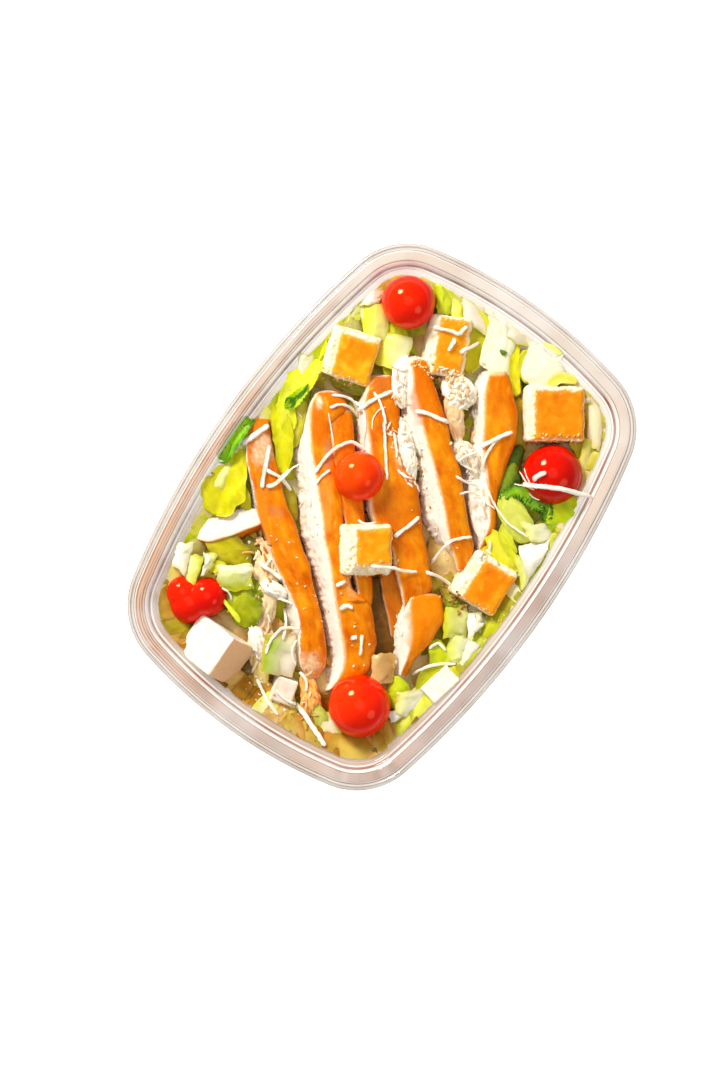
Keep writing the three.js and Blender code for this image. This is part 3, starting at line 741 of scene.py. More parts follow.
# Each row across a strip: y, left foot of the pale cut face, ridge, right edge of the browned
# top (pixels), and the ridge's height (mm).
STRIPS = {
    "strip_5": dict(
        rows=[
            (362, 395.5, 411, 427, 46.8), (370, 392.4, 411.5, 430, 47.4),
            (377, 391.7, 413, 431, 47.8), (391, 394, 414, 436.6, 48.4), (404, 398, 418, 440.6, 48.8),
            (417, 400.4, 421, 444.6, 48.9), (431, 404, 423.5, 448.7, 48.8), (444, 409, 427, 451, 48.7),
            (457, 415, 431, 455, 48.4), (470, 417, 434.6, 460, 48.1), (484, 418, 438, 462, 47.6),
            (497, 419, 441.3, 464, 47.2), (510, 420, 444, 466, 46.8), (524, 423, 446.5, 468, 46.2),
            (537, 431, 448.5, 471, 45.5), (546, 441, 450, 473, 45.0), (556, 450, 454, 472, 44.2),
            (566, 454.5, 457, 467, 43.2),
        ],
        depth=11.5, seed=5,
    ),
    "strip_2": dict(
        rows=[
            (396, 311, 315, 342, 44.6), (403, 307, 311, 346, 45.3),
            (412, 303, 309.5, 345, 45.8), (425, 298.5, 309.5, 331.5, 46.4), (440, 293, 310, 331.5, 46.8),
            (457, 292.5, 312, 334, 47.0), (470, 294, 315, 336, 47.1), (484, 296.2, 317, 338, 47.2),
            (497, 296.7, 319, 340.5, 47.3), (510, 297, 321.5, 342, 47.3), (524, 298, 323, 343, 47.2),
            (537, 300, 324, 344, 47.1), (550, 304.5, 327, 345, 47.0), (564, 309.5, 330, 347, 46.9),
            (577, 312.5, 331.5, 349, 46.8), (589, 316, 333.5, 352, 46.6), (596, 317, 334.5, 360, 46.5),
            (604, 318, 335.5, 369, 46.3), (616, 320, 338, 372.5, 45.9), (630, 323, 340, 374.5, 45.4),
            (644, 325.5, 343, 376, 44.8), (658, 326.5, 344, 373, 44.0), (670, 324.5, 342, 369, 43.2),
            (680, 323.5, 337, 358, 42.4), (688, 323, 331, 340, 41.6),
        ],
        depth=11.5, seed=2,
    ),
    "strip_6": dict(
        rows=[
            (374, 480, 489, 506.5, 45.2), (381, 475, 486.5, 510, 46.0),
            (390, 472, 484.5, 512, 46.6), (398, 471, 484, 514, 46.9), (413, 472, 483.5, 517.5, 47.0),
            (421, 473, 483.5, 517.5, 46.9), (430, 472, 483, 516.5, 46.6), (444, 470, 483, 514.5, 46.2),
            (458, 464, 483.5, 509, 45.8), (472, 459, 486.5, 504, 45.3), (486, 456, 488, 500, 44.8),
            (500, 455, 489, 497.5, 44.2), (514, 458, 490, 496.5, 43.6), (526, 462, 489, 496, 43.0),
            (538, 467, 484, 494, 42.2), (549, 473, 479, 486, 41.4),
        ],
        depth=10.5, seed=6,
    ),
    "strip_3": dict(
        rows=[
            (380, 366, 368.5, 395, 44.0), (391, 362, 366.5, 397, 44.9),
            (405, 357, 364, 399, 45.4), (424, 355.5, 366, 399, 45.8), (440, 356, 369, 400, 46.0),
            (457, 359, 370.5, 404, 46.0), (470, 361, 371, 410, 45.8), (484, 363, 370, 417, 45.6),
            (497, 365, 370, 418.6, 45.6), (510, 366, 371, 420, 45.5), (524, 371, 375, 422, 45.4),
            (537, 380, 384, 424, 45.2), (550, 389, 392.5, 426.6, 45.0), (564, 391.5, 394.5, 428, 44.8),
            (577, 394, 397.5, 430.6, 44.6), (590, 397.5, 401, 431, 44.3), (600, 400, 403, 420, 43.8),
            (608, 402, 404.5, 411, 43.0),
        ],
        depth=10.0, seed=3,
    ),
    "strip_4": dict(
        rows=[
            (599, 403, 410.4, 441, 44.4), (608, 397, 409.6, 443, 44.9),
            (616, 393.5, 410, 443.6, 45.1), (623, 391, 411, 442.5, 45.2), (630, 389.4, 411.7, 438, 45.1),
            (644, 390, 411, 429.5, 44.6), (658, 391.4, 407, 415.5, 43.6), (666, 392.4, 404, 411, 42.6),
            (673, 394, 401, 408, 41.6),
        ],
        depth=9.5, seed=4,
    ),
    "strip_1": dict(
        rows=[
            (421, 251, 253.5, 270, 44.4), (430, 246, 249, 271, 44.6),
            (440, 244.2, 247, 271.5, 45.0), (456, 243.8, 246.6, 274, 45.4), (470, 246, 249, 278, 45.6),
            (489, 250, 253.4, 282, 45.7), (505, 253, 256.6, 287, 45.8), (524, 259, 262, 295, 45.8),
            (541, 265, 268, 300, 45.7), (550, 267.5, 271, 303, 45.6), (564, 271.5, 275, 309, 45.5),
            (577, 277.5, 282, 311, 45.4), (591, 283, 289, 314, 45.2), (604, 285, 295, 317.5, 45.0),
            (617, 286, 298.5, 321, 44.6), (631, 290, 300.5, 323.5, 44.2), (641, 292, 300, 325, 43.8),
            (654, 294, 300, 326, 43.2), (666, 297, 301, 325, 42.4), (673, 302, 305, 320, 41.6),
        ],
        depth=9.5, seed=1,
    ),
    "strip_2b": dict(
        rows=[
            (414, 329.5, 332, 350.5, 44.8), (424, 329, 331, 352.5, 45.2),
            (440, 329.5, 331.5, 354, 45.6), (460, 332, 334, 355, 45.6), (490, 336, 338, 359, 45.2),
            (505, 339, 341, 363, 45.0), (521, 343, 345, 364, 44.8), (550, 348, 350, 367, 44.6),
            (565, 351, 353, 369.5, 44.5), (578, 353, 355.5, 371.5, 44.4), (590, 355, 358, 372.5, 44.2),
            (602, 357, 360, 372, 43.6),
        ],
        depth=8.0, seed=8,
    ),
    "strip_3b": dict(
        rows=[
            (552, 372, 374, 392, 41.2), (566, 374, 376.5, 396, 41.8), (580, 378, 380.5, 399, 42.2),
            (594, 380, 382.5, 401, 42.2), (606, 383, 385.5, 402, 41.6), (618, 386, 388.5, 402, 40.8),
            (634, 388, 391, 402, 39.8),
        ],
        depth=7.0, seed=9,
    ),
    "strip_short": dict(  # lies with its pale cut face up; described across below
        rows=[], depth=9.0, seed=10,
    ),
}  # fmt: skip

WHITE_MEAT = lin((255, 246, 228))
MEAT_SHADE = lin((232, 190, 140))
MEAT_SPECK_AND_CRACK_SHADE = lin((168, 112, 62))
BROWN_EDGE = lin((228, 132, 44))
ORANGE = lin((232, 126, 2))
ORANGE_LIGHT = lin((252, 162, 18))
ORANGE_DEEP = lin((212, 94, 0))
ORANGE_SHADED_SIDE = lin((160, 66, 2))
CREAM_LINE = lin((255, 226, 168))


def chain(points, n, smooth):
    """n points evenly along broken lines (rows, corners, 3), rounded except at their ends."""
    d = np.linalg.norm(np.diff(points, axis=1), axis=-1)
    s = np.concatenate([np.zeros((len(points), 1)), np.cumsum(d, 1)], 1)
    out = np.empty((len(points), n, 3))
    for i in range(len(points)):
        at = np.linspace(0, s[i, -1], n)
        for k in range(3):
            out[i, :, k] = np.interp(at, s[i], points[i, :, k])
    for _ in range(smooth):
        out[:, 1:-1] = 0.25 * out[:, :-2] + 0.5 * out[:, 1:-1] + 0.25 * out[:, 2:]
    return out


def make_strip(name, rows, depth, seed, colours=None, pitch=0.58, left_drop=None, right_drop=1.0, rough=1.0, tips=(0.0, 0.0), sway_by=1.0, rim=0.7):
    """rows: y, left x, ridge x, right x, z; or left x, y, ridge x, y, right x, y, z."""
    rows = np.asarray(rows, float)
    if rows.shape[1] == 5:
        y = rows[:, 0]
        rows = np.stack([rows[:, 1], y, rows[:, 2], y, rows[:, 3], y, rows[:, 4]], 1)
    drop = depth * 0.72 if left_drop is None else left_drop
    left = P(rows[:, 0], rows[:, 1], rows[:, 6] - drop)
    ridge = P(rows[:, 2], rows[:, 3], rows[:, 6])
    right = P(rows[:, 4], rows[:, 5], rows[:, 6] - right_drop)
    length = np.linalg.norm(np.diff((ridge + right) / 2, axis=0), axis=1).sum()
    n = max(12, int(length / pitch))
    even = np.concatenate([[0], np.cumsum(np.linalg.norm(np.diff((ridge + right) / 2, axis=0), axis=1))])
    t_of = np.interp(np.linspace(0, even[-1], n), even, np.linspace(0, 1, len(rows)))
    left, ridge, right = (rows_at(q, t_of) for q in (left, ridge, right))
    z = ridge[:, 2]
    across = right - ridge
    width = np.linalg.norm(across[:, :2], axis=1)[:, None]
    side = right - left
    side[:, 2] = 0
    side /= np.linalg.norm(side, axis=1, keepdims=True)
    low = (z - depth)[:, None]

    def at(p, dx=0.0, dz=0.0, zz=None):
        q = p + side * dx + np.array([0, 0, dz])
        if zz is not None:
            q = q.copy()
            q[:, 2:] = zz
        return q

    cut = np.stack(
        [
            at(left, 2.2, 0, low), at(left, 0.5, -1.5), left,
            (left * 0.62 + ridge * 0.38) + [0, 0, 0.5], (left * 0.25 + ridge * 0.75) + [0, 0, 0.45], ridge,
        ],
        1,
    )  # fmt: skip
    crown = np.minimum(width * 0.06, 0.9)
    up = np.array([0, 0, 1.0])
    top = np.stack(
        [
            ridge, ridge + across * 0.2 + up * crown * 0.9, ridge + across * 0.5 + up * crown * 1.3,
            ridge + across * 0.8 + up * crown, right + [0, 0, -0.1], at(right, 0.35, -2.2),
            at(right, 0.1, -depth * 0.5), at(right, -1.2, 0, low),
        ],
        1,
    )  # fmt: skip
    n_cut, n_top = 30, 46
    c, t = chain(cut, n_cut, 3), chain(top, n_top, 4)
    p = np.concatenate([c[:, :-1], t], 1)  # (n, ring, 3), the ridge kept once
    # rounded ends
    def cap(ring, out):
        mid = ring.mean(0)
        mid[2] = ring[:, 2].max() * 0.55 + ring[:, 2].min() * 0.45
        rings = []
        for k in range(1, 7):
            a = k / 6 * math.pi / 2
            rings.append(mid + (ring - mid) * max(math.cos(a), 0.02) + out * 2.2 * math.sin(a))
        return rings

    o0 = (p[0] - p[1]).mean(0)
    o1 = (p[-1] - p[-2]).mean(0)
    o0, o1 = (v * [1, 1, 0] / np.linalg.norm(v[:2]) for v in (o0, o1))
    p = np.stack([*cap(p[0], o0)[::-1], *p, *cap(p[-1], o1)])
    nu, nv = p.shape[:2]
    s = np.concatenate([[0], np.cumsum(np.linalg.norm(np.diff(p[:, nv // 2], axis=0), axis=1))])
    S = np.repeat(s[:, None], nv, 1)
    v = np.arange(nv)[None, :].repeat(nu, 0).astype(float)
    on_cut = v < n_cut - 1
    face = np.clip(v / (n_cut - 1), 0, 1)  # 0 bottom left .. 1 ridge
    over = np.clip((v - (n_cut - 1)) / (n_top - 1), 0, 1)  # 0 ridge .. 1 bottom right
    q = xyz(S, v * 0.55, np.full_like(S, seed * 7.1))
    fibre = fbm(q * [0.3, 0.9, 1], 3, seed)
    lumps = fbm(q * [0.42, 0.5, 1], 3, seed + 9)
    grit = fbm(q * [1.3, 1.5, 1], 2, seed + 12)
    ridged = np.abs(fbm(q * [0.55, 0.8, 1], 3, seed + 20))
    n_ = normals_of_grid(p, True)
    # outward: away from the middle of each ring
    mid = p.mean(1, keepdims=True)
    n_ *= np.sign((n_ * (p - mid)).sum(-1).mean())
    cut_w = step(0.05, 0.3, face) * (1 - step(0.9, 1.0, face)) * on_cut
    torn = (1 - step(0.5, 0.82, face + 0.16 * lumps)) * cut_w  # smooth white by the ridge, ragged below
    crack = (1 - step(0.02, 0.11, ridged)) * torn
    feather = fbm(q * [0.22, 1.5, 1], 3, seed + 25)
    amount = rough * (cut_w * 0.2 * fibre + torn * (0.8 * lumps + 0.35 * feather + 0.03 * grit) - 0.22 * crack)
    top_w = (~on_cut) * 1.0
    skin = fbm(q * [0.35, 1.3, 1], 3, seed + 6)
    amount = amount + top_w * (0.4 * fbm(q * [0.12, 0.12, 1], 2, seed + 4) + 0.16 * skin)
    p = p + n_ * amount[..., None]
    # the foot of the cut face is ragged
    rag = np.exp(-(((face - 0.36) / 0.2) ** 2)) * on_cut
    sway = fbm(xyz(S * 0.45, S * 0, seed + 0.5), 3, seed + 30) + 0.35 * fbm(xyz(S * 1.6, S * 0, seed + 0.9), 2, seed + 31)
    p = p + (side.mean(0) * (rag * (1.5 * rough * sway_by * sway))[..., None])
    # colours
    speck = step(0.42, 0.56, fbm(q * [1.1, 1.3, 1], 2, seed + 40)) * (1 - step(0.45, 0.7, face))
    pale = mix(WHITE_MEAT, lin((255, 234, 212)), step(0.1, -0.5, lumps + 0.2 * grit) * 0.7 * torn)
    # painted shade in the torn face's hollows and cracks; the brown specks are the meat's own
    pale = mix(pale, MEAT_SHADE, step(-0.1, -0.6, lumps + 0.5 * feather) * 0.45 * torn)
    pale = mix(pale, MEAT_SPECK_AND_CRACK_SHADE, np.clip(crack * 0.32 + speck * 0.12, 0, 1))
    # painted shade: the lower part of the cut face is warmed toward peach
    pale = mix(pale, lin((255, 220, 174)), step(0.62, 0.1, face) * 0.6)
    pale = mix(lin((222, 156, 84)), pale, step(0.0, 0.14, face + 0.08 * lumps))
    tone = fbm(q * [0.1, 0.16, 1], 3, seed + 50)
    streak = fbm(q * [0.12, 1.1, 1], 3, seed + 55)
    # lighter patches, the browned top's own tone, thinned toward the right edge as painted shade on the side away from
    # the lamp
    brown = mix(ORANGE, ORANGE_LIGHT, step(-0.05, 0.45, tone + 0.3 * streak) * (1 - 0.7 * over))
    brown = mix(brown, ORANGE_DEEP, step(0.0, -0.42, tone + 0.35 * streak))
    # painted shade: darker over about the first 3 cm, the end toward the lamp, which faces it and would light too
    # bright
    brown = mix(brown, ORANGE_DEEP, step(34, 6, S + 10 * tone) * 0.45)
    glint = step(0.3, 0.55, fbm(q * [0.5, 1.6, 1], 2, seed + 66)) * step(-0.1, 0.3, tone)
    brown = mix(brown, lin((255, 190, 84)), glint * 0.45 * (1 - step(0.3, 0.6, over)))
    patch = fbm(q * [0.2, 0.34, 1], 3, seed + 68)
    brown = mix(brown, lin((255, 178, 48)), step(0.12, 0.5, patch) * 0.55 * (1 - step(0.4, 0.7, over)))
    brown = mix(brown, lin((198, 82, 0)), step(-0.12, -0.5, patch) * 0.5)
    # painted highlights: small pale glints on the browned top
    painted_glints = step(0.4, 0.52, fbm(q * [0.7, 1.5, 1], 2, seed + 71)) * step(0.0, 0.3, fbm(q * [0.16, 0.2, 1], 2, seed + 72))
    brown = mix(brown, lin((255, 226, 160)), painted_glints * 0.55 * (1 - step(0.45, 0.7, over)))
    # painted shade: the side sloping away from the lamp turns orange-brown
    brown = mix(brown, ORANGE_SHADED_SIDE, step(0.5, 0.82, over + 0.1 * tone))
    brown = mix(brown, lin((180, 78, 8)), step(0.22, 0.5, streak) * 0.35 * step(0.15, 0.5, over))
    cluster = step(0.05, 0.3, fbm(q * [0.2, 0.22, 1], 2, seed + 62))
    spot = step(0.38, 0.55, fbm(q * [0.8, 0.9, 1], 2, seed + 60)) * cluster
    brown = mix(brown, lin((150, 54, 8)), spot * 0.75)
    rim_line = np.exp(-(((v - (n_cut - 0.6)) / 1.3) ** 2))
    edge = fbm(xyz(S * 0.5, S * 0, seed + 3.3), 2, seed + 8) * 1.8
    colour = np.where((v < n_cut - 1 + edge)[..., None], pale, brown)
    colour = mix(colour, CREAM_LINE, rim_line * rim)
    # pale meat shows round the ends
    ragged = 0.8 * fbm(q * [0.5, 0.6, 1], 2, seed + 70)
    for tip, from_end in ((tips[0], S - 2.6), (tips[1], s[-1] - 2.6 - S)):
        if tip:
            colour = mix(colour, mix(WHITE_MEAT, CREAM_LINE, 0.35), 1 - step(tip - 0.8, tip + 0.8, from_end + ragged * 1.6 + 1.6 * over * tip * 0.4))
    if colours:
        colour = colours(colour, p, v, S)
    b = Build()
    faces = grid_faces(nu, nv, True)
    ends = [np.arange(nv)[None, ::-1], ((nu - 1) * nv + np.arange(nv))[None, :]]
    b.add(p, [faces, *ends], colour.reshape(-1, 3), step(n_cut - 2, n_cut + 2, v).ravel())
    ob = b.object(name + "_meat", CHICKEN, "chicken")
    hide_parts(name)
    return ob


def tint_region(px, py, rx, ry, tint, share, z=46.0):
    """A soft oval patch of another colour, placed by a pixel."""
    c = P(px, py, z)

    def f(colour, p, v, S):
        d = p - c
        x = d[..., 0] * RIGHT[0] + d[..., 1] * RIGHT[1]
        y = d[..., 0] * UP[0] + d[..., 1] * UP[1]
        r = np.sqrt((x / (rx * PX)) ** 2 + (y / (ry * PX)) ** 2) + 0.3 * noise(p * 0.35, 5)
        return mix(colour, lin(tint), (1 - step(0.65, 1.1, r)) * share)

    return f


def blotch(px, py, rx, ry, tint, share, z=46.0):
    """A patch of another colour, broken up at its edge and within."""
    c = P(px, py, z)

    def f(colour, p, v, S):
        d = p - c
        x = d[..., 0] * RIGHT[0] + d[..., 1] * RIGHT[1]
        y = d[..., 0] * UP[0] + d[..., 1] * UP[1]
        r = np.sqrt((x / (rx * PX)) ** 2 + (y / (ry * PX)) ** 2) + 0.6 * fbm(p * 0.5, 3, 7)
        inner = 0.5 + 0.5 * step(-0.2, 0.2, fbm(p * 0.8, 3, 8))
        return mix(colour, lin(tint), (1 - step(0.4, 1.2, r)) * inner * share)

    return f


def several(*fs):
    def f(colour, p, v, S):
        for g in fs:
            colour = g(colour, p, v, S)
        return colour

    return f


# ------------------------------------------------------------------ blocks


def block_grid(n):
    g = np.linspace(-1, 1, n)
    faces, points = [], []
    for axis in range(3):
        for sign in (-1, 1):
            a, b = np.meshgrid(g, g, indexing="ij")
            c = np.full_like(a, sign)
            order = {0: (c, a, b), 1: (b, c, a), 2: (a, b, c)}[axis]
            points.append(np.stack(order, -1).reshape(-1, 3))
            f = grid_faces(n, n, False, (len(points) - 1) * n * n)
            faces.append(f if sign > 0 else f[:, ::-1])
    points = np.concatenate(points)
    faces = np.concatenate(faces)
    key = np.round(points * 1e5).astype(np.int64)
    _, first, inverse = np.unique(key, axis=0, return_index=True, return_inverse=True)
    return points[first], inverse.ravel()[faces]


def turn(yaw, tilt_x, tilt_y):
    cz, sz, cx, sx, cy, sy = (f(a) for a in (yaw, tilt_x, tilt_y) for f in (math.cos, math.sin))
    z = np.array([[cz, -sz, 0], [sz, cz, 0], [0, 0, 1]])
    x = np.array([[1, 0, 0], [0, cx, -sx], [0, sx, cx]])
    y = np.array([[cy, 0, sy], [0, 1, 0], [-sy, 0, cy]])
    return z @ x @ y


LIE = math.radians(35.6)
BLOCKS = [
    # node, centre, size, yaw, tilts, seed, pale bands: left, far, right, near (mm)
    ("crouton_a", (-44.2, 41.4, 39.8), (18.0, 18.5, 15.0), LIE - 0.3, 0.1, 0.16, 1, (3.0, 2.0, 0.2, 0.8)),
    ("crouton_b", (-17.6, 64.2, 39.6), (15.5, 22.0, 14.0), LIE - 0.16, 0.06, 0.18, 2, (3.4, 0.8, 1.6, 0.8)),
    ("crouton_c", (1.7, -13.3, 45.4), (18.5, 18.5, 11.0), LIE, 0.06, 0.16, 3, (5.4, 1.4, 0.3, 4.0)),
    ("crouton_d", (28.7, 66.4, 39.6), (21.5, 20.5, 15.5), LIE, -0.06, 0.14, 4, (3.0, 1.8, 0.2, 0.6)),
    ("crouton_e", (43.7, 2.0, 39.6), (17.5, 18.5, 14.5), LIE - 0.55, -0.04, 0.16, 5, (3.6, 2.0, 0.2, 0.4)),
    ("cube_large", (-21.2, -74.4, 40.8), (18.6, 16.4, 15.6), 0.02, 0.06, -0.58, 6, None),
    ("cube_small", (7.3, -72.0, 38.2), (8.5, 9.5, 9.0), LIE - 0.35, 0.1, 0.1, 7, None),
    ("cube_side", (53.0, -37.2, 41.2), (7.8, 13.0, 8.0), -0.21, 0.0, -0.12, 8, None),
]


def make_block(name, centre, size, yaw, tx, ty, seed, bands):
    bread = name.startswith("crouton")
    n = 44 if bread else (30 if size[0] > 12 else 22)
    grid, faces = block_grid(n)
    half = np.array(size) / 2
    r = 1.5 if bread else 0.7
    inner = np.clip(grid * half, -(half - r), half - r)
    d = grid * half - inner
    d /= np.maximum(np.linalg.norm(d, axis=1, keepdims=True), 1e-9)
    p = inner + d * r
    q = p + seed * 31.7
    low = fbm(q * 0.09, 2, seed)
    mid = fbm(q * 0.32, 3, seed + 3)
    fine = fbm(q * 1.1, 2, seed + 5)
    R = turn(yaw, tx, ty)
    out = d @ R.T
    lit = out[:, :2] @ (-RIGHT * 0.75 + UP * 0.65)
    if bread:
        # how far inside the browned top a point is, from each pale band
        left, far, right, near = bands
        wob = 1.4 * mid + 0.6 * fine + 1.0 * low
        inside = np.minimum.reduce(
            [
                p[:, 0] + half[0] - left + wob, half[1] - p[:, 1] - far + wob,
                half[0] - p[:, 0] - right + wob, p[:, 1] + half[1] - near + wob,
            ]
        )  # fmt: skip
        up = step(0.1, 0.7, d[:, 2])
        slope = np.clip(-inside, 0, 5) * step(-0.5, -0.05, d[:, 2])
        toasted = step(-0.35, 0.35, inside) * step(0.4, 0.75, d[:, 2] + 0.15 * mid)
        f1, f2, _ = cells(q * 0.5, seed)
        pore = (1 - step(0.12, 0.42, f1)) * (1 - toasted)
        amount = 0.7 * low + (0.25 + 0.3 * (1 - toasted)) * mid + (0.04 + 0.14 * (1 - toasted)) * fine - 0.4 * pore
        p = p + d * amount[:, None]
        p[:, 2] -= slope * 0.5 - 0.25 * toasted * step(0.0, 1.5, inside)
        toast = mix(lin((250, 164, 10)), lin((255, 184, 40)), step(-0.1, 0.5, mid))
        toast = mix(toast, lin((236, 134, 2)), step(0.1, -0.5, low + 0.4 * mid))
        toast = mix(toast, lin((250, 186, 70)), np.exp(-((inside / 0.8) ** 2)) * 0.6)
        toast = mix(toast, lin((190, 96, 14)), step(0.42, 0.62, fine) * 0.3)
        tone_by = {1: (1.1, 1.12, 1.1), 2: (1, 0.9, 0.8), 3: (1, 0.96, 1), 4: (0.9, 0.72, 0.6), 5: (1.05, 0.84, 0.5)}
        toast = np.clip(toast * tone_by[seed], 0, 1)
        cream = mix(lin((255, 246, 214)), lin((250, 222, 160)), step(0.1, -0.5, mid))
        # painted shade: the crumb is darker in its pores
        cream = mix(cream, lin((240, 190, 110)), pore * 0.5)
        # painted light and shade: crumb sides facing the lamp at the upper left, or facing up, are cream, and those
        # facing away are golden
        golden_in_shade = mix(lin((232, 150, 44)), lin((248, 196, 104)), step(-0.2, 0.4, mid + fine * 0.4))
        side = mix(golden_in_shade, cream, step(-0.35, 0.1, lit + 0.15 * mid + 0.7 * step(0.0, 0.4, d[:, 2])))
        colour = mix(side, toast, toasted)
        grains = step(0.2, 0.4, fine) * np.exp(-(((inside - 0.8) / 1.1) ** 2)) * up
        colour = mix(colour, lin((255, 232, 168)), grains * 0.6)
        colour = mix(colour, lin((206, 120, 36)), step(-0.3, -0.9, d[:, 2]))
    else:
        p = p + d * (0.6 * low + 0.25 * mid + 0.08 * fine)[:, None]
        colour = mix(lin((250, 242, 226)), lin((246, 228, 202)), step(0.1, -0.4, mid))
        # painted shade: the sides facing away from the lamp turn tan, almost fully on the large cube
        shade_to = (0.15, 0.5)[name == "cube_small"] if name != "cube_large" else 0.95
        colour = mix(colour, lin((236, 188, 138)), step(0.15, -0.4, lit + 0.12 * mid) * shade_to)
        f1, f2, _ = cells(q * 0.5, seed + 2)
        colour = mix(colour, lin((240, 206, 166)), (1 - step(0.02, 0.12, f2 - f1)) * 0.3)
    world = keep_in(p @ R.T + centre, 0.1, 2.0 if name == "cube_side" else 0.5)
    b = Build()
    b.add(world, faces, colour)
    ob = b.object(name + "_piece", BREAD if bread else CUBE, "toasted_bread" if bread else "pale_cube")
    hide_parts(name)
    return ob


# ------------------------------------------------------------------ tomatoes

# name, centre (mm), radius (0 for the two-lobed one), shaded and lit colours: each tomato is painted lighter toward the
# lamp
TOMATOES = [
    ("tomato_end", (-37.6, 69.0, 45.6), 9.8, (236, 18, 0), (253, 38, 0)),
    ("tomato_right", (41.5, 48.7, 42.4), 11.0, (196, 2, 0), (236, 12, 0)),
    ("tomato_middle", (-15.5, 7.1, 46.8), 9.1, (248, 46, 0), (255, 80, 0)),
    ("tomato_corner", (33.4, -60.7, 42.6), 11.4, (240, 18, 0), (255, 48, 0)),
    ("tomato_double", (-38.4, -64.0, 41.0), 0.0, (228, 4, 0), (252, 34, 0)),
]
LOBES = np.array([(-4.9, -0.6, 0.4, 6.1), (3.6, 3.4, 0.6, 7.3), (-0.4, -2.6, -1.0, 7.4)])


def make_tomato(name, centre, radius, deep, light, seed):
    nu, nv = 48, 72
    a = np.linspace(0, math.pi, nu)[:, None]
    o = np.linspace(0, 2 * math.pi, nv, endpoint=False)[None, :]
    d = np.stack([np.sin(a) * np.cos(o), np.sin(a) * np.sin(o), np.cos(a) * np.ones_like(o)], -1)
    if radius:
        r = radius * (1 + 0.012 * fbm(d * 1.2 + seed, 2, seed))
        p = d * r[..., None] * [1, 1, 0.975]
    else:
        along = d @ LOBES[:, :3].T
        reach = along + np.sqrt(np.maximum(along**2 - (LOBES[:, :3] ** 2).sum(1) + LOBES[:, 3] ** 2, 0.01))
        k = 2.6
        r = np.log(np.exp(k * reach).sum(-1)) / k - 0.2
        p = d * r[..., None]
    tone = fbm(d * 1.6 + seed * 3.1, 3, seed + 1)
    # painted light: the side toward the lamp at the upper left takes the lighter colour
    lit = d @ np.array([*(RIGHT * -0.4 + UP * 0.3), 0.4])
    colour = mix(lin(deep), lin(light), step(-0.1, 0.8, lit + 0.4 * tone))
    b = Build()
    ends = [np.arange(nv)[None, :], ((nu - 1) * nv + np.arange(nv))[None, ::-1]]
    p = p + centre
    faces = grid_faces(nu, nv, True)[:, ::-1]
    # single points at the poles
    p[0] = p[0].mean(0) + (p[0] - p[0].mean(0)) + d[1] * 0.001
    b.add(p[1:-1], [faces_without_poles(nu - 2, nv), *[e for e in pole_caps(nu - 2, nv)]], colour[1:-1].reshape(-1, 3))
    ob = b.object(name + "_fruit", TOMATO, "tomato")
    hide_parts(name)
    return ob


def faces_without_poles(nu, nv):
    return grid_faces(nu, nv, True)[:, ::-1]


def pole_caps(nu, nv):
    return [np.arange(nv)[None, :], ((nu - 1) * nv + np.arange(nv))[None, ::-1]]


# ------------------------------------------------------------------ leaves


def leaf_grid(spine, nu, nv):
    """Points of a leaf's middle surface from its spine [(px, py, z, half width px), ...]."""
    spine = np.asarray(spine, float)
    t = np.linspace(0, 1, nu)
    s = rows_at(spine, t)
    mid = P(s[:, 0], s[:, 1], s[:, 2])
    along = np.gradient(mid, axis=0)
    along /= np.maximum(np.linalg.norm(along, axis=1, keepdims=True), 1e-9)
    across = np.cross(along, [0, 0, 1.0])
    across /= np.maximum(np.linalg.norm(across, axis=1, keepdims=True), 1e-9)
    half = np.maximum(s[:, 3], 0.4) * PX
    v = np.linspace(-1, 1, nv)
    return mid, along, across, half, t, v


def shell(b, p, colour, thick, extra=0.0):
    """Adds a sheet (nu, nv, 3) with some thickness as one closed skin."""
    nu, nv = p.shape[:2]
    n = normals_of_grid(p)
    flip = np.sign(n[..., 2].mean() or 1)
    n = n * flip
    t = np.broadcast_to(np.asarray(thick, float), (nu, nv)).copy()
    top, bottom = p + n * t[..., None] / 2, p - n * t[..., None] / 2
    f_top = grid_faces(nu, nv)
    f_bot = grid_faces(nu, nv, False, nu * nv)[:, ::-1]
    if flip < 0:
        f_top, f_bot = f_top[:, ::-1], f_bot[:, ::-1]
    rim = np.concatenate(
        [
            np.arange(nv), np.arange(1, nu) * nv + nv - 1,
            (nu - 1) * nv + np.arange(nv - 2, -1, -1), np.arange(nu - 2, 0, -1) * nv,
        ]
    )  # fmt: skip
    nxt = np.roll(rim, -1)
    side = np.stack([rim, rim + nu * nv, nxt + nu * nv, nxt], -1)
    if flip < 0:
        side = side[:, ::-1]
    pts = np.concatenate([top.reshape(-1, 3), bottom.reshape(-1, 3)])
    col = np.concatenate([colour.reshape(-1, 3)] * 2)
    b.add(pts, [f_top, f_bot, side], col, extra)


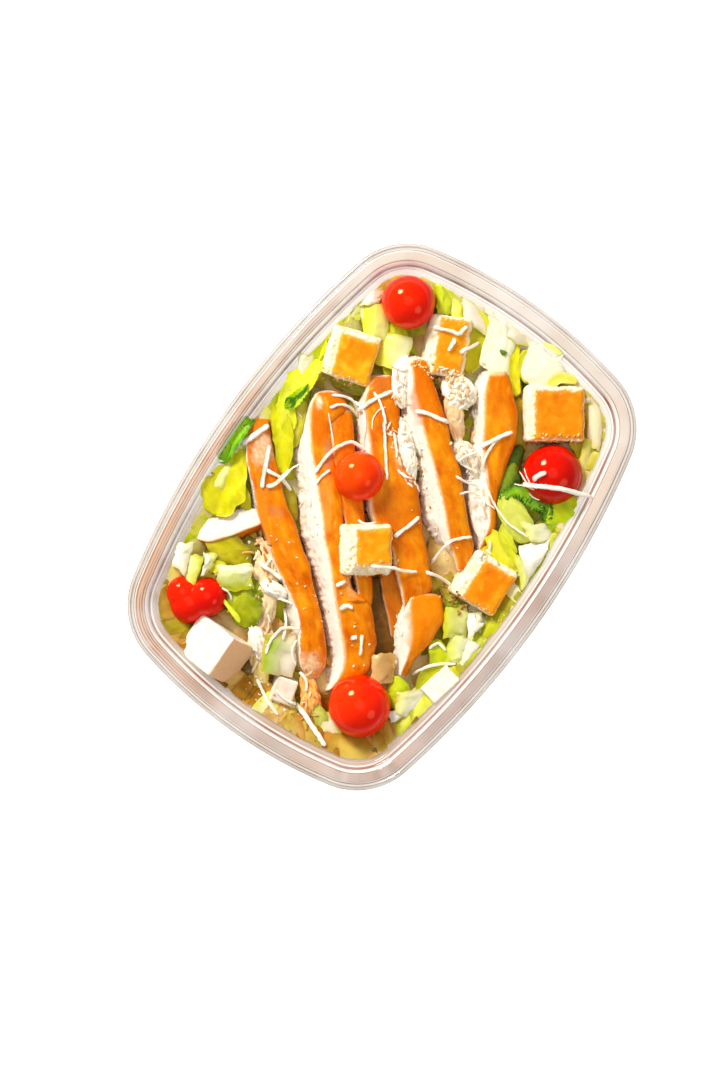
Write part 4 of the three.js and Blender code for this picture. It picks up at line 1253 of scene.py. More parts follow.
def leaf(
    b, spine, mid, edge, curl=0.0, frill=0.0, freq=6.0, thick=0.45, crumple=0.6, rib=None,
    rib_width=0.16, veins=0.35, seed=1, nu=26, nv=13, tilt=0.0, cup=0.0, jag=0.22, dark=None, ends=6.0,
    slant=0.35, pleat=0.0,
):  # fmt: skip
    """One leaf or rib. curl lifts both edges, tilt one; frill ruffles the edges."""
    m, along, across, half, t, v = leaf_grid(spine, nu, nv)
    T, V = np.meshgrid(t, v, indexing="ij")
    length = np.linalg.norm(np.diff(m, axis=0), axis=1).sum()
    S = T * length
    sg = np.where(V < 0, -1.0, 1.0)
    round_ends = np.clip(1 - np.abs(2 * T - 1) ** ends, 0.0, 1) ** 0.5
    round_ends = np.maximum(round_ends, 0.12)
    H = half[:, None]
    X = V * H
    j = 1 + jag * fbm(xyz(S * 0.22, sg * 3.1, seed * 1.7), 3, seed) * 1.6
    j = 1 + (j - 1) * np.abs(V)
    w = X * j * round_ends
    # the ends are cut or torn at a slant, and bulge unevenly
    end = np.abs(2 * T - 1) ** 3 * np.sign(2 * T - 1)
    rs = np.random.default_rng(seed + 1000)
    k0, k1 = rs.uniform(-slant, slant, 2)
    push = np.where(T < 0.5, k0, k1) * np.abs(end) * X + end * 0.25 * H.mean() * fbm(xyz(V * 1.4, sg * 0, seed * 2.9), 2, seed + 5)
    edge_w = np.abs(V) ** 2.2
    way = S * 2 * math.pi * freq / max(length, 1)
    warp = 2.2 * noise(xyz(S * 0.25, sg * 2.0, seed), seed)
    size = 0.35 + 0.9 * np.clip(0.5 + noise(xyz(S * 0.3, sg * 5.0, seed + 4), seed + 6), 0, 1.4)
    ruffle = fbm(xyz(S * 0.75, sg * 3.0 + V * 0.6, seed + 8), 3, seed + 12) * 2.2
    ripple = (0.4 * np.sin(way + seed + 1.2 * V + warp) + ruffle) * size
    ripple2 = np.sin(way * 2.3 + seed * 2.3 - 2 * V + 1.5 * warp) * size
    lift = (
        curl * H * V**2 + tilt * X + frill * edge_w * (0.8 * ripple + 0.35 * ripple2)
        + crumple * fbm(xyz(S * 0.16, X * 0.22, seed * 3.3), 3, seed + 2) - cup * H * (1 - V**2)
        + pleat * np.sin(X * 2.2 + seed + 0.8 * noise(xyz(S * 0.2, 0, seed), seed))
    )  # fmt: skip
    side = w + frill * 0.45 * edge_w * np.cos(way * 1.3 + seed + warp) * size * sg
    p = (
        m[:, None] + across[:, None] * side[..., None] + along[:, None] * push[..., None]
        + np.array([0, 0, 1.0]) * lift[..., None]
    )  # fmt: skip
    # colours: rib in the middle, darker and greener to the edge, lighter along the veins
    tone = fbm(xyz(S * 0.14, X * 0.2, seed + 0.7), 3, seed + 4)
    c = mix(lin(mid), lin(edge), step(0.1, 1.0, np.abs(V) + 0.55 * tone))
    if dark is not None:
        c = mix(c, lin(dark), step(0.5, 1.05, np.abs(V) + 0.6 * tone - 0.2 * ripple * np.sign(frill)))
        c = mix(c, lin(dark), step(0.1, -0.5, tone) * 0.35)
    if rib is not None:
        c = mix(c, lin(rib), (1 - step(rib_width * 0.5, rib_width, np.abs(V))) * (1 - 0.6 * T))
    vein = np.abs(np.sin((S * 0.55 - np.abs(X) * 0.8) * 1.2 + 2 * tone)) ** 10
    c = mix(c, np.minimum(c * 1.35 + 0.03, 1), vein * veins * (0.3 + np.abs(V)))
    th = thick * (1 - 0.45 * np.abs(V) ** 3)
    shell(b, keep_in(p, 0.5 + thick / 2), c, th)


# ------------------------------------------------------------------ the heap's core


def lettuce_top(x, y):
    z = 35.2 + 1.6 * noise(xyz(x * 0.06, y * 0.06, 0), 3)
    for mx, my, r, h in [
        (-55, -9, 9, 5.5), (-50, 16, 12, 3.2), (-52, 50, 12, 2.6), (-22, 82, 12, 2.0), (48, 30, 12, 2.8),
        (50, -18, 11, 2.0), (36, -46, 9, 1.6), (-30, -50, 10, 2.4), (-48, -50, 10, 1.4), (-2, -60, 8, 1.4),
        (6, 80, 12, -3.0), (0, -78, 16, -3.0),
    ]:  # fmt: skip
        z = z + h * np.exp(-((x - mx) ** 2 + (y - my) ** 2) / r**2)
    return z


def wall_point(ring_step, z, deep):
    """A point at the tray's inner face, `deep` mm inside it. ring_step counts around, 0..AROUND."""
    z = np.asarray(z, float)
    rs = np.asarray(ring_step, float) % AROUND
    i0 = np.floor(rs).astype(int) % AROUND
    i1 = (i0 + 1) % AROUND
    f = (rs - np.floor(rs))[..., None]
    inset = inset_at(z) + deep
    lo = np.array([outline(v) for v in WALL_TABLE])
    k = np.interp(inset, WALL_TABLE, np.arange(len(WALL_TABLE)))
    k0 = np.clip(np.floor(k).astype(int), 0, len(WALL_TABLE) - 2)
    g = (k - k0)[..., None]
    at = lambda kk: lo[kk, i0] * (1 - f) + lo[kk, i1] * f
    xy = at(k0) * (1 - g) + at(k0 + 1) * g
    return np.concatenate([xy, z[..., None]], -1)


WALL_TABLE = np.linspace(8.0, 26.0, 37)
_ring = outline(13.0)
ARC = np.concatenate([[0], np.cumsum(np.linalg.norm(np.roll(_ring, -1, 0) - _ring, axis=1))])


def ring_at(mm):
    """The ring step at a distance (mm) along the tray's wall."""
    return np.interp(np.asarray(mm, float) % ARC[-1], ARC, np.arange(AROUND + 1))


PALE = (250, 247, 196)
YELLOW = (243, 236, 62)
LIME = (212, 222, 30)
OLIVE = (184, 180, 18)
GREEN = (128, 166, 22)
DARK = (58, 100, 12)
AMBER = (196, 150, 46)


def make_core():
    b = Build()
    low = 1.75
    ring_z = np.concatenate([[low] * 9, np.linspace(low + 0.5, 33.0, 24)])
    points, cols = [], []
    base = outline(22.2)
    for k in np.linspace(0.06, 1, 9):
        points.append(np.concatenate([base * k, np.full((AROUND, 1), low)], 1))
    around = np.arange(AROUND)
    for z in np.linspace(low + 0.6, 33.0, 24):
        q = wall_point(around, np.full(AROUND, z), 1.5)
        points.append(q)
    p = np.stack(points)
    top = []
    edge = p[-1][:, :2]
    for k in np.linspace(0.97, 0.04, 40):
        xy = edge * k
        z = lettuce_top(xy[:, 0], xy[:, 1])
        z = 33.2 * (1 - step(1.0, 0.93, k)) + z * step(1.0, 0.93, k)
        top.append(np.concatenate([xy, z[:, None]], 1))
    p = np.concatenate([p, np.stack(top)])
    nu, nv = p.shape[:2]
    n = normals_of_grid(p, True)
    n *= np.sign((n * (p - p.mean((0, 1)))).sum(-1).mean())
    f1, f2, name = cells(p * [0.11, 0.11, 0.16], 4)
    fold = step(0.0, 0.35, f2 - f1)
    relief = fbm(p * 0.16, 3, 8)
    wall = step(1.0, 0.0, np.abs(np.arange(nu) - 20) / 22.0)[:, None]
    amount = -1.3 * (1 - fold) + 0.9 * relief - 0.5
    p = p + n * (amount * np.where(np.arange(nu)[:, None] > 33, 1.0, 0.7))[..., None]
    inside = np.arange(nu) <= 9
    p[inside, :, 2] = np.maximum(p[inside, :, 2], 1.6)
    shade = mix(lin(LIME), lin(PALE), step(0.55, 0.8, name))
    shade = mix(shade, lin(GREEN), step(0.3, 0.2, name))
    shade = mix(shade, lin(YELLOW), step(0.35, 0.45, name) * (1 - step(0.5, 0.6, name)))
    # painted shade: the folds between leaves are darkened
    shade = mix(shade * 0.5, shade, fold)
    deep_top = (np.arange(nu) > 34)[:, None]
    x, y = p[..., 0], p[..., 1]
    across = x * RIGHT[0] + y * RIGHT[1]
    up_ = x * UP[0] + y * UP[1]
    middle = np.exp(-((across / 34) ** 2 + (up_ / 62) ** 2))
    # painted shade: the core is darkened all over, and its top turns dark brown in the middle, under the chicken
    c = mix(shade * 0.75, lin((130, 76, 14)), deep_top * step(0.35, 0.75, middle + 0.2 * relief))
    near_end = step(-48, -66, y) * deep_top
    c = mix(c, lin((178, 128, 34)), near_end * 0.75)
    b.add(p, [grid_faces(nu, nv, True)], c.reshape(-1, 3))
    b.faces.append(np.arange(nv)[None, ::-1])
    b.faces.append(((nu - 1) * nv + np.arange(nv))[None, :])
    ob = b.object("lettuce_core", LEAF, "lettuce")
    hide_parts("lettuce")
    return ob


def wall_leaves():
    """Leaves pressed against the clear wall and base."""
    rng = np.random.default_rng(11)
    b = Build()
    palette = [
        (PALE, LIME, None), (LIME, GREEN, None), (YELLOW, LIME, None), (PALE, YELLOW, None),
        (LIME, GREEN, DARK), ((252, 250, 224), PALE, None), (YELLOW, GREEN, None), (LIME, OLIVE, None),
    ]  # fmt: skip
    for k in range(150):
        s0 = k * ARC[-1] / 150 + rng.uniform(-4, 4)
        z0 = rng.uniform(6, 37)
        length, width = rng.uniform(18, 40), rng.uniform(7, 15)
        ang = rng.uniform(-1.2, 1.2)
        nu, nv = 20, 8
        u = np.linspace(-0.5, 0.5, nu)[:, None] * length
        v = np.linspace(-0.5, 0.5, nv)[None, :] * width * np.sqrt(np.clip(1 - np.abs(u / length * 2) ** 6, 0.06, 1))
        v = v * (1 + 0.5 * fbm(xyz(u * 0.16, np.sign(v) * 3.0, k * 1.9), 3, k + 7))
        bend = rng.uniform(-0.02, 0.02) * u**2
        a = u * math.cos(ang) - (v + bend) * math.sin(ang)
        z = z0 + u * math.sin(ang) + (v + bend) * math.cos(ang)
        z = np.clip(z, 2.6, 38.5 + rng.uniform(0, 2.0))
        deep = rng.uniform(0.25, 1.0) + 0.55 + 0.5 * fbm(xyz(u * 0.13, v * 0.2, k), 2, k)
        p = wall_point(ring_at(s0 + a), z, np.clip(deep, 0.35, 3.0))
        mid, edge, dark = palette[rng.integers(len(palette))]
        V = np.abs(v / (width / 2)) * np.ones_like(u)
        tone = fbm(xyz(u * 0.12, v * 0.22, k + 0.5), 3, k + 3)
        c = mix(lin(mid), lin(edge), step(0.1, 1.0, V + 0.4 * tone))
        if dark is not None:
            c = mix(c, lin(dark), step(0.5, 1.1, V + 0.5 * tone))
        c = mix(c, lin((253, 250, 226)), (1 - step(0.06, 0.2, V)) * 0.7)
        vein = np.abs(np.sin(u * 0.6 - np.abs(v) * 0.8 + k)) ** 10
        c = mix(c, np.minimum(c * 1.3, 1), vein * 0.4)
        shell(b, p, c, 0.3)
    return b.object("lettuce_at_wall", LEAF, "lettuce")


# ------------------------------------------------------------------ leaves on top

ANGLES = 720
POLAR = None


def reach_at(angle, z, deep=0.55):
    """How far from the middle the tray's inner face is, less `deep`."""
    global POLAR
    if POLAR is None:
        rows = []
        for v in WALL_TABLE:
            q = outline(v)
            a = np.arctan2(q[:, 1], q[:, 0]) % (2 * math.pi)
            o = np.argsort(a)
            rows.append(
                np.interp(np.arange(ANGLES) * 2 * math.pi / ANGLES, a[o], np.hypot(q[o, 0], q[o, 1]), period=2 * math.pi)
            )
        POLAR = np.array(rows)
    k = np.interp(inset_at(z) + deep, WALL_TABLE, np.arange(len(WALL_TABLE)))
    k0 = np.clip(np.floor(k).astype(int), 0, len(WALL_TABLE) - 2)
    a = (angle % (2 * math.pi)) * ANGLES / (2 * math.pi)
    i = np.floor(a).astype(int) % ANGLES
    j, f, g = (i + 1) % ANGLES, a - np.floor(a), k - k0
    lo = POLAR[k0, i] * (1 - f) + POLAR[k0, j] * f
    hi = POLAR[k0 + 1, i] * (1 - f) + POLAR[k0 + 1, j] * f
    return lo * (1 - g) + hi * g


def keep_in(p, deep=0.55, soft_by=2.0):
    """Pulls points that would go through the tray's wall back inside it."""
    p = np.array(p, float)
    r = np.hypot(p[..., 0], p[..., 1])
    most = reach_at(np.arctan2(p[..., 1], p[..., 0]), np.clip(p[..., 2], 1.4, 44.8), deep)
    over = np.maximum(r - most + soft_by, 0)
    soft = np.where(over > 0, most - soft_by + soft_by * np.tanh(over / soft_by), r)
    k = np.where(p[..., 2] < 44.9, soft / np.maximum(r, 1e-6), 1.0)
    p[..., :2] *= k[..., None]
    return p


def to_px(x, y):
    return CX + (x * RIGHT[0] + y * RIGHT[1]) / PX, CY - (x * UP[0] + y * UP[1]) / PX


CREAM = (252, 246, 214)
WHITE = (255, 252, 238)
BEIGE = (240, 216, 170)

# kind, [(px, py, z, half width in px), ...], middle colour, edge colour, what else
LEAVES = [
    # the far end
    ("leaf", [(443.5, 277, 43, 3), (444, 290, 42.6, 7), (445, 312, 41, 7)], (214, 224, 14), (232, 238, 70), dict(curl=0.3)),
    ("leaf", [(453, 286, 42.6, 4), (455, 300, 42, 6.5), (457, 318, 40.6, 6)], (238, 236, 150), (214, 216, 40), dict(curl=0.25)),
    ("leaf", [(474, 316, 40.6, 10), (474, 340, 40.8, 14), (466, 372, 39.6, 10)], (226, 220, 20), (196, 184, 10), dict(curl=0.2, crumple=0.8)),
    ("rib", [(490, 301, 44.4, 4), (502, 322, 44.2, 13), (500, 346, 43.8, 14.5), (492, 376, 42.6, 17)], (252, 247, 214), (250, 246, 196), dict(curl=-0.16, thick=2.0)),
    ("leaf", [(521, 333, 42, 5), (525, 343, 42, 9), (521, 354, 41.6, 5)], (226, 168, 70), (232, 186, 80), dict()),
    ("leaf", [(519, 340, 43, 3), (514, 362, 43, 5), (517, 396, 41.8, 5)], (236, 226, 30), (218, 206, 14), dict(curl=0.3)),
    ("leaf", [(528, 352, 43.2, 8), (527, 366, 43, 9), (529, 382, 42.4, 7)], (232, 230, 56), (222, 222, 40), dict(curl=0.2)),
    ("rib", [(543, 340, 44.6, 8), (546, 356, 44.8, 22), (552, 372, 44.4, 28), (556, 388, 43, 25)], (250, 247, 214), (248, 244, 206), dict(curl=-0.1, thick=1.4)),
    ("leaf", [(548, 384, 44.6, 4), (560, 378, 45.2, 6), (578, 381, 44.6, 4)], (240, 228, 70), (236, 232, 130), dict()),
    ("leaf", [(543, 343, 45.2, 2), (556, 350, 45.3, 3), (563, 356, 45.0, 2)], (236, 238, 120), (244, 242, 160), dict()),
    ("leaf", [(600, 424, 41.4, 4), (598, 444, 41, 6), (588, 470, 40.6, 6)], (206, 186, 60), (232, 214, 130), dict()),
    ("leaf", [(574, 438, 41.4, 8), (584, 452, 41.2, 9), (588, 472, 40.6, 7)], (214, 200, 20), (196, 178, 16), dict()),
    ("leaf", [(590, 462, 40.8, 6), (586, 482, 40.4, 6), (574, 506, 40, 6)], (236, 220, 160), (214, 196, 110), dict()),
    ("leaf", [(520, 398, 40.6, 5), (522, 424, 40.4, 7), (518, 452, 40, 7)], (196, 168, 20), (168, 138, 16), dict(frill=0.6)),
    # right of the chicken
    ("leaf", [(522, 446, 42, 5), (514, 458, 43, 10), (508, 472, 42.4, 9)], (60, 100, 14), (44, 84, 8), dict(curl=-0.35, dark=(30, 66, 6))),
    ("leaf", [(515, 462, 42.8, 5), (508, 480, 43.4, 11), (503, 504, 42.6, 9)], (126, 152, 26), (84, 120, 14), dict(curl=-0.3, veins=0.9, dark=(52, 96, 10))),
    ("leaf", [(500, 500, 43.4, 4), (514, 491, 44.2, 7), (530, 494, 44.4, 8), (546, 504, 44, 7)], (136, 188, 16), (96, 156, 10), dict(frill=1.6, freq=13, curl=0.1, veins=0.7, dark=(48, 104, 8), crumple=1.0)),
    ("leaf", [(520, 496, 44, 3), (532, 503, 44.4, 6), (548, 510, 44, 6)], (112, 170, 12), (70, 130, 8), dict(frill=1.5, freq=11, dark=(38, 90, 6))),
    ("leaf", [(504, 494, 43.6, 8), (511, 510, 43.9, 14), (522, 530, 43, 13), (530, 542, 42, 8)], (226, 228, 100), (206, 214, 70), dict(curl=-0.1, crumple=0.5, veins=0.6)),
    ("leaf", [(553, 500, 44, 6), (560, 514, 44.2, 14), (562, 528, 43, 13), (560, 540, 41.6, 6)], (206, 222, 8), (176, 206, 0), dict(curl=0.25, frill=0.7, crumple=1.2, veins=0.6)),
    ("leaf", [(545, 498, 44.2, 3), (548, 510, 44.6, 5), (545, 522, 43.8, 5)], (104, 160, 10), (58, 116, 8), dict(frill=1.2, freq=8, dark=(34, 84, 6))),
    ("leaf", [(566, 496, 44.2, 4), (570, 504, 44.2, 7), (566, 516, 43.6, 5)], (222, 228, 30), (196, 212, 6), dict(curl=0.3)),
    ("leaf", [(551, 528, 41.4, 6), (551, 538, 41, 7), (546, 546, 40.4, 5)], (204, 184, 120), (180, 160, 90), dict()),
    ("leaf", [(488, 530, 41.6, 7), (498, 546, 42.4, 10), (510, 562, 42.4, 9), (518, 572, 41.4, 6)], (240, 230, 50), (224, 222, 20), dict(curl=0.3, crumple=1.0)),
    ("leaf", [(504, 522, 42, 4), (506, 540, 42.6, 7), (514, 556, 42, 6)], (222, 224, 60), (206, 212, 30), dict(curl=0.2)),
    ("leaf", [(478, 556, 41, 6), (492, 552, 41.8, 8), (506, 552, 42, 6)], (232, 210, 60), (216, 206, 30), dict(crumple=1.0)),
    ("leaf", [(522, 590, 41, 6), (512, 606, 41, 11), (494, 632, 40.4, 11), (484, 650, 39.8, 6)], (184, 190, 12), (160, 168, 8), dict(curl=0.2)),
    ("leaf", [(508, 618, 41.2, 4), (498, 630, 41, 6), (486, 646, 40.4, 5)], (214, 204, 40), (190, 176, 20), dict()),
    ("leaf", [(446, 604, 41.4, 5), (456, 607, 41.8, 5), (468, 613, 41.4, 4)], (150, 166, 20), (120, 140, 14), dict(frill=0.8)),
    ("leaf", [(432, 640, 41.4, 5), (438, 652, 42, 9), (436, 668, 41, 7)], (206, 216, 20), (186, 204, 8), dict(curl=0.25)),
    ("leaf", [(450, 662, 41, 6), (436, 674, 41, 12), (420, 690, 40, 8)], (194, 196, 14), (168, 172, 10), dict(curl=0.2)),
    ("leaf", [(394, 678, 41.4, 6), (399, 692, 42, 10), (396, 710, 41, 8)], (206, 218, 30), (184, 202, 16), dict(curl=-0.3)),
    ("rib", [(455, 668, 40.8, 7), (446, 680, 40.6, 9), (434, 694, 40, 7)], (250, 246, 214), (240, 234, 180), dict()),
    # painted shadow: a dark brown sheet in the gap between strip_2 and strip_3b
    ("leaf", [(380, 574, 38.6, 11), (381, 600, 38.8, 13), (382, 630, 38.8, 13), (383, 660, 38.4, 11)], (118, 66, 4), (96, 54, 2), dict(veins=0.0, crumple=0.5)),
    # the near end
    ("leaf", [(324, 712, 40.6, 5), (330, 728, 40.8, 11), (334, 742, 40, 8)], (250, 246, 200), (226, 226, 90), dict(curl=-0.1)),
    ("leaf", [(322, 738, 39.6, 6), (350, 748, 39.4, 9), (384, 744, 39.6, 8)], (184, 150, 30), (146, 112, 20), dict(crumple=1.0)),
    ("leaf", [(386, 716, 40.4, 5), (378, 732, 40.4, 9), (366, 746, 39.8, 7)], (214, 206, 60), (186, 160, 30), dict()),
    ("leaf", [(314, 704, 40.8, 4), (320, 716, 41, 7), (322, 728, 40.2, 5)], (204, 210, 90), (170, 180, 50), dict()),
    ("leaf", [(232, 584, 42, 8), (240, 598, 43.2, 15), (246, 612, 43, 16), (244, 628, 41.4, 10)], (172, 178, 2), (146, 154, 0), dict(frill=0.8, freq=11, crumple=1.4, veins=0.6, dark=(104, 116, 0))),
    ("leaf", [(221, 597, 44.2, 1.4), (228, 606, 45.0, 2.0), (235, 615, 45.0, 2.8), (240, 622, 44.2, 2.0)], (240, 246, 70), (220, 232, 20), dict(crumple=0.3)),
    ("leaf", [(252, 580, 41.4, 5), (256, 596, 42, 7), (254, 616, 41, 6)], (150, 162, 24), (120, 130, 20), dict(frill=1.0, freq=8)),
    ("leaf", [(246, 676, 39.4, 7), (262, 692, 39.6, 12), (284, 708, 39, 11), (300, 716, 38.6, 7)], (214, 160, 60), (196, 134, 40), dict(crumple=1.2)),
    ("leaf", [(286, 676, 39.8, 6), (284, 694, 40, 10), (290, 712, 39, 8)], (246, 228, 180), (226, 196, 120), dict(crumple=1.0)),
    ("leaf", [(256, 656, 40, 5), (262, 672, 40.4, 8), (258, 692, 39.4, 6)], (238, 214, 130), (214, 176, 80), dict(crumple=1.0)),
    ("leaf", [(266, 626, 40.6, 5), (268, 640, 41, 7), (264, 654, 40.4, 6)], (244, 232, 190), (226, 204, 150), dict(crumple=1.0)),
    # the left
    ("leaf", [(171, 560, 41.4, 6), (164, 580, 41.6, 9), (160, 604, 41, 8)], (250, 236, 120), (240, 214, 90), dict()),
    ("leaf", [(166, 612, 40.4, 5), (172, 628, 40.4, 7), (182, 640, 39.8, 6)], (226, 190, 70), (206, 160, 50), dict()),
    ("leaf", [(194, 586, 43.6, 3), (194, 594, 44.4, 4.5), (194, 604, 43.4, 2)], (226, 238, 60), (206, 226, 20), dict()),
    ("leaf", [(206, 538, 42.2, 6), (224, 546, 43, 15), (240, 556, 42.6, 13), (250, 564, 41.4, 6)], (202, 188, 4), (176, 160, 0), dict(crumple=1.4, veins=0.4, dark=(130, 112, 6))),
    ("leaf", [(206, 566, 43, 5), (220, 568, 43.4, 7), (226, 580, 43, 5)], (236, 240, 70), (214, 226, 30), dict(curl=0.2)),
    ("leaf", [(246, 536, 41, 5), (254, 552, 41.2, 8), (258, 566, 40.4, 6)], (130, 120, 24), (96, 84, 16), dict(crumple=1.0)),
    ("leaf", [(241, 446, 43, 6), (234, 468, 44.2, 15), (224, 490, 44.6, 22), (214, 514, 43.4, 20)], (232, 220, 4), (214, 206, 0), dict(curl=0.12, crumple=1.6, veins=0.5)),
    ("leaf", [(226, 460, 43.8, 5), (222, 474, 45.0, 9), (212, 492, 44.6, 7)], (252, 248, 150), (244, 244, 90), dict(curl=-0.3)),
    ("leaf", [(212, 476, 42.8, 5), (202, 496, 43, 7), (192, 518, 42.4, 7)], (250, 232, 150), (244, 220, 110), dict()),
    ("leaf", [(238, 480, 44.2, 5), (244, 496, 44.2, 6), (246, 510, 43, 5)], (214, 204, 40), (176, 160, 20), dict()),
    ("leaf", [(250, 417, 43.6, 5), (242, 426, 45, 8), (231, 442, 45, 9), (219, 461, 43.6, 7)], (150, 206, 14), (120, 190, 4), dict(curl=0.7, crumple=1.2, frill=0.5, veins=0.7, dark=(70, 140, 8))),
    ("leaf", [(240, 428, 44.6, 1.5), (234, 438, 44.8, 2.2), (226, 452, 44.4, 1.8)], (40, 100, 10), (24, 76, 6), dict()),
    ("leaf", [(275, 404, 43, 6), (281, 424, 43.4, 10), (284, 444, 43, 10), (282, 474, 41.4, 8)], (232, 228, 16), (206, 200, 10), dict(curl=0.2, crumple=1.0)),
    ("leaf", [(288, 486, 40.8, 5), (290, 504, 41, 7), (292, 524, 40.4, 5)], (170, 150, 20), (140, 118, 14), dict()),
    ("leaf", [(264, 388, 42.6, 5), (270, 402, 42.8, 8), (268, 418, 42, 6)], (246, 190, 60), (240, 204, 110), dict()),
    ("leaf", [(320, 325, 42.6, 5), (318, 342, 43, 9), (312, 362, 42.4, 8)], (240, 244, 10), (226, 236, 0), dict(curl=0.2)),
    ("leaf", [(322, 362, 43.2, 6), (308, 372, 44.4, 12), (294, 388, 44.2, 13), (282, 402, 43, 7)], (248, 250, 60), (236, 244, 20), dict(curl=0.1, crumple=0.9, frill=0.3)),
    ("leaf", [(308, 387, 44.4, 2), (302, 392, 45.2, 5), (294, 400, 45.0, 7), (286, 408, 44.0, 5)], (206, 232, 14), (170, 216, 8), dict(curl=0.3, frill=0.6, crumple=1.0, veins=0.5)),
    ("leaf", [(308, 384, 45.4, 0.8), (303, 392, 45.9, 1.6), (296, 397, 46.0, 1.4), (289, 403, 45.6, 0.9)], (44, 116, 6), (30, 96, 4), dict(frill=0.3)),
    ("leaf", [(285, 403, 45.4, 0.7), (288, 398, 45.9, 1.2), (294, 400, 46.0, 1.3), (292, 406, 45.6, 1.0), (286, 408, 45.2, 0.7)], (54, 128, 8), (36, 104, 4), dict()),
    ("leaf", [(288, 388, 43.6, 6), (286, 408, 43.8, 9), (290, 432, 43, 8)], (242, 242, 60), (226, 230, 20), dict(curl=0.2)),
    # painted shadow: a dark olive leaf in the shade just below crouton_a
    ("leaf", [(330, 376, 41.4, 6), (350, 384, 41.4, 9), (366, 392, 40.6, 6)], (150, 150, 20), (110, 100, 14), dict(crumple=1.0)),
    ("leaf", [(366, 296, 43, 6), (371, 314, 43.2, 10), (376, 332, 42.4, 8)], (246, 238, 60), (252, 246, 170), dict(curl=0.2, crumple=1.0)),
    ("leaf", [(352, 302, 42.4, 6), (346, 314, 42.2, 8), (340, 324, 41.6, 6)], (244, 238, 120), (236, 226, 70), dict()),
    ("leaf", [(396, 322, 42.4, 8), (396, 340, 42.6, 13), (394, 360, 41.8, 12), (390, 376, 40.8, 7)], (214, 216, 24), (190, 196, 12), dict(curl=0.1, crumple=1.2)),
    ("leaf", [(458, 372, 41.4, 5), (448, 380, 41.6, 6), (436, 384, 41, 5)], (180, 176, 30), (150, 140, 20), dict()),
    ("leaf", [(304, 400, 42.6, 5), (298, 424, 42.8, 6), (294, 448, 42, 5)], (206, 196, 60), (180, 164, 30), dict()),
]  # fmt: skip


# four corners (px) of a cut piece: two along one edge, two along the opposite one; height; the two
# edges' colours; thickness (mm)
CHUNKS = [
    ((521, 548), (549, 541), (541, 562), (529, 577), 43.2, WHITE, (250, 246, 214), 1.8),
    ((521, 523), (533, 541), (550, 540), (548, 526), 42.6, (232, 232, 150), (246, 242, 206), 1.2),
    ((515, 558), (524, 592), (532, 588), (530, 560), 43.2, (222, 230, 100), (248, 248, 190), 1.0),
    ((527, 577), (526, 593), (538, 590), (541, 574), 41.9, (252, 244, 220), (246, 236, 196), 1.4),
    ((446, 611), (444, 634), (465, 636), (466, 608), 42.9, (206, 206, 30), (240, 240, 150), 1.2),
    ((468, 615), (470, 637), (481, 626), (480, 614), 43.4, WHITE, (246, 248, 206), 1.6),
    ((450, 637), (447, 660), (464, 661), (467, 640), 42.3, (222, 230, 80), (248, 248, 190), 1.3),
    ((466, 640), (462, 664), (470, 669), (481, 648), 42.6, WHITE, (250, 246, 220), 1.5),
    ((399, 694), (397, 712), (410, 718), (425, 690), 42.0, (232, 230, 120), WHITE, 1.4),
    ((388, 712), (392, 720), (414, 712), (410, 704), 42.0, (250, 248, 220), WHITE, 1.2),
    ((172, 546), (170, 560), (184, 572), (192, 545), 44.2, (255, 252, 232), (252, 248, 206), 1.3),
    ((186, 557), (184, 572), (194, 587), (201, 557), 43.9, (252, 250, 196), (230, 236, 70), 1.2),
    ((205, 554), (202, 576), (208, 572), (216, 556), 44.4, WHITE, (240, 244, 120), 1.2),
    ((219, 568), (249, 566), (250, 588), (222, 590), 43.9, (254, 254, 210), (196, 206, 4), 1.2),
    ((366, 306), (364, 334), (384, 338), (390, 308), 43.2, (246, 240, 60), (250, 246, 150), 0.8),
    ((381, 334), (378, 362), (402, 370), (410, 340), 42.8, (240, 238, 70), (250, 248, 180), 0.8),
    ((300, 356), (297, 374), (308, 380), (313, 358), 43.9, (255, 252, 220), (250, 246, 180), 1.2),
    ((364, 287), (360, 303), (378, 304), (383, 286), 43.4, (250, 242, 214), (246, 234, 196), 0.9),
    ((461, 291), (462, 320), (486, 332), (486, 300), 42.0, (248, 230, 204), (244, 224, 192), 0.8),
    ((500, 300), (500, 330), (530, 346), (530, 314), 42.0, (248, 234, 208), (244, 226, 192), 0.8),
    ((588, 384), (588, 440), (600, 446), (605, 392), 42.6, (244, 228, 186), (234, 214, 166), 0.9),
    ((584, 444), (566, 506), (574, 510), (598, 448), 42.0, (220, 204, 80), (240, 220, 160), 0.9),
    ((541, 533), (534, 566), (546, 566), (562, 530), 41.2, (200, 188, 80), (220, 200, 120), 0.8),
    ((520, 594), (478, 642), (486, 650), (529, 602), 41.8, (196, 196, 10), (172, 172, 0), 0.9),
    ((373, 656), (374, 684), (392, 680), (393, 656), 41.8, (220, 180, 116), (190, 136, 70), 1.6),
    ((266, 638), (264, 669), (290, 674), (294, 637), 42.4, (160, 186, 14), (255, 242, 214), 1.5),
    ((156, 575), (154, 600), (164, 597), (171, 572), 41.8, (252, 238, 140), (250, 244, 190), 0.9),
    ((344, 296), (340, 318), (350, 322), (356, 298), 42.6, (222, 226, 40), (246, 244, 130), 0.9),
    ((353, 294), (350, 316), (360, 318), (364, 296), 43.0, (250, 250, 180), (226, 230, 60), 0.8),
    ((437, 282), (438, 311), (450, 312), (447, 280), 43.4, (206, 228, 14), (226, 236, 50), 0.8),
    ((451, 292), (452, 318), (462, 320), (461, 292), 42.6, (238, 238, 130), (210, 214, 30), 0.8),
]  # fmt: skip


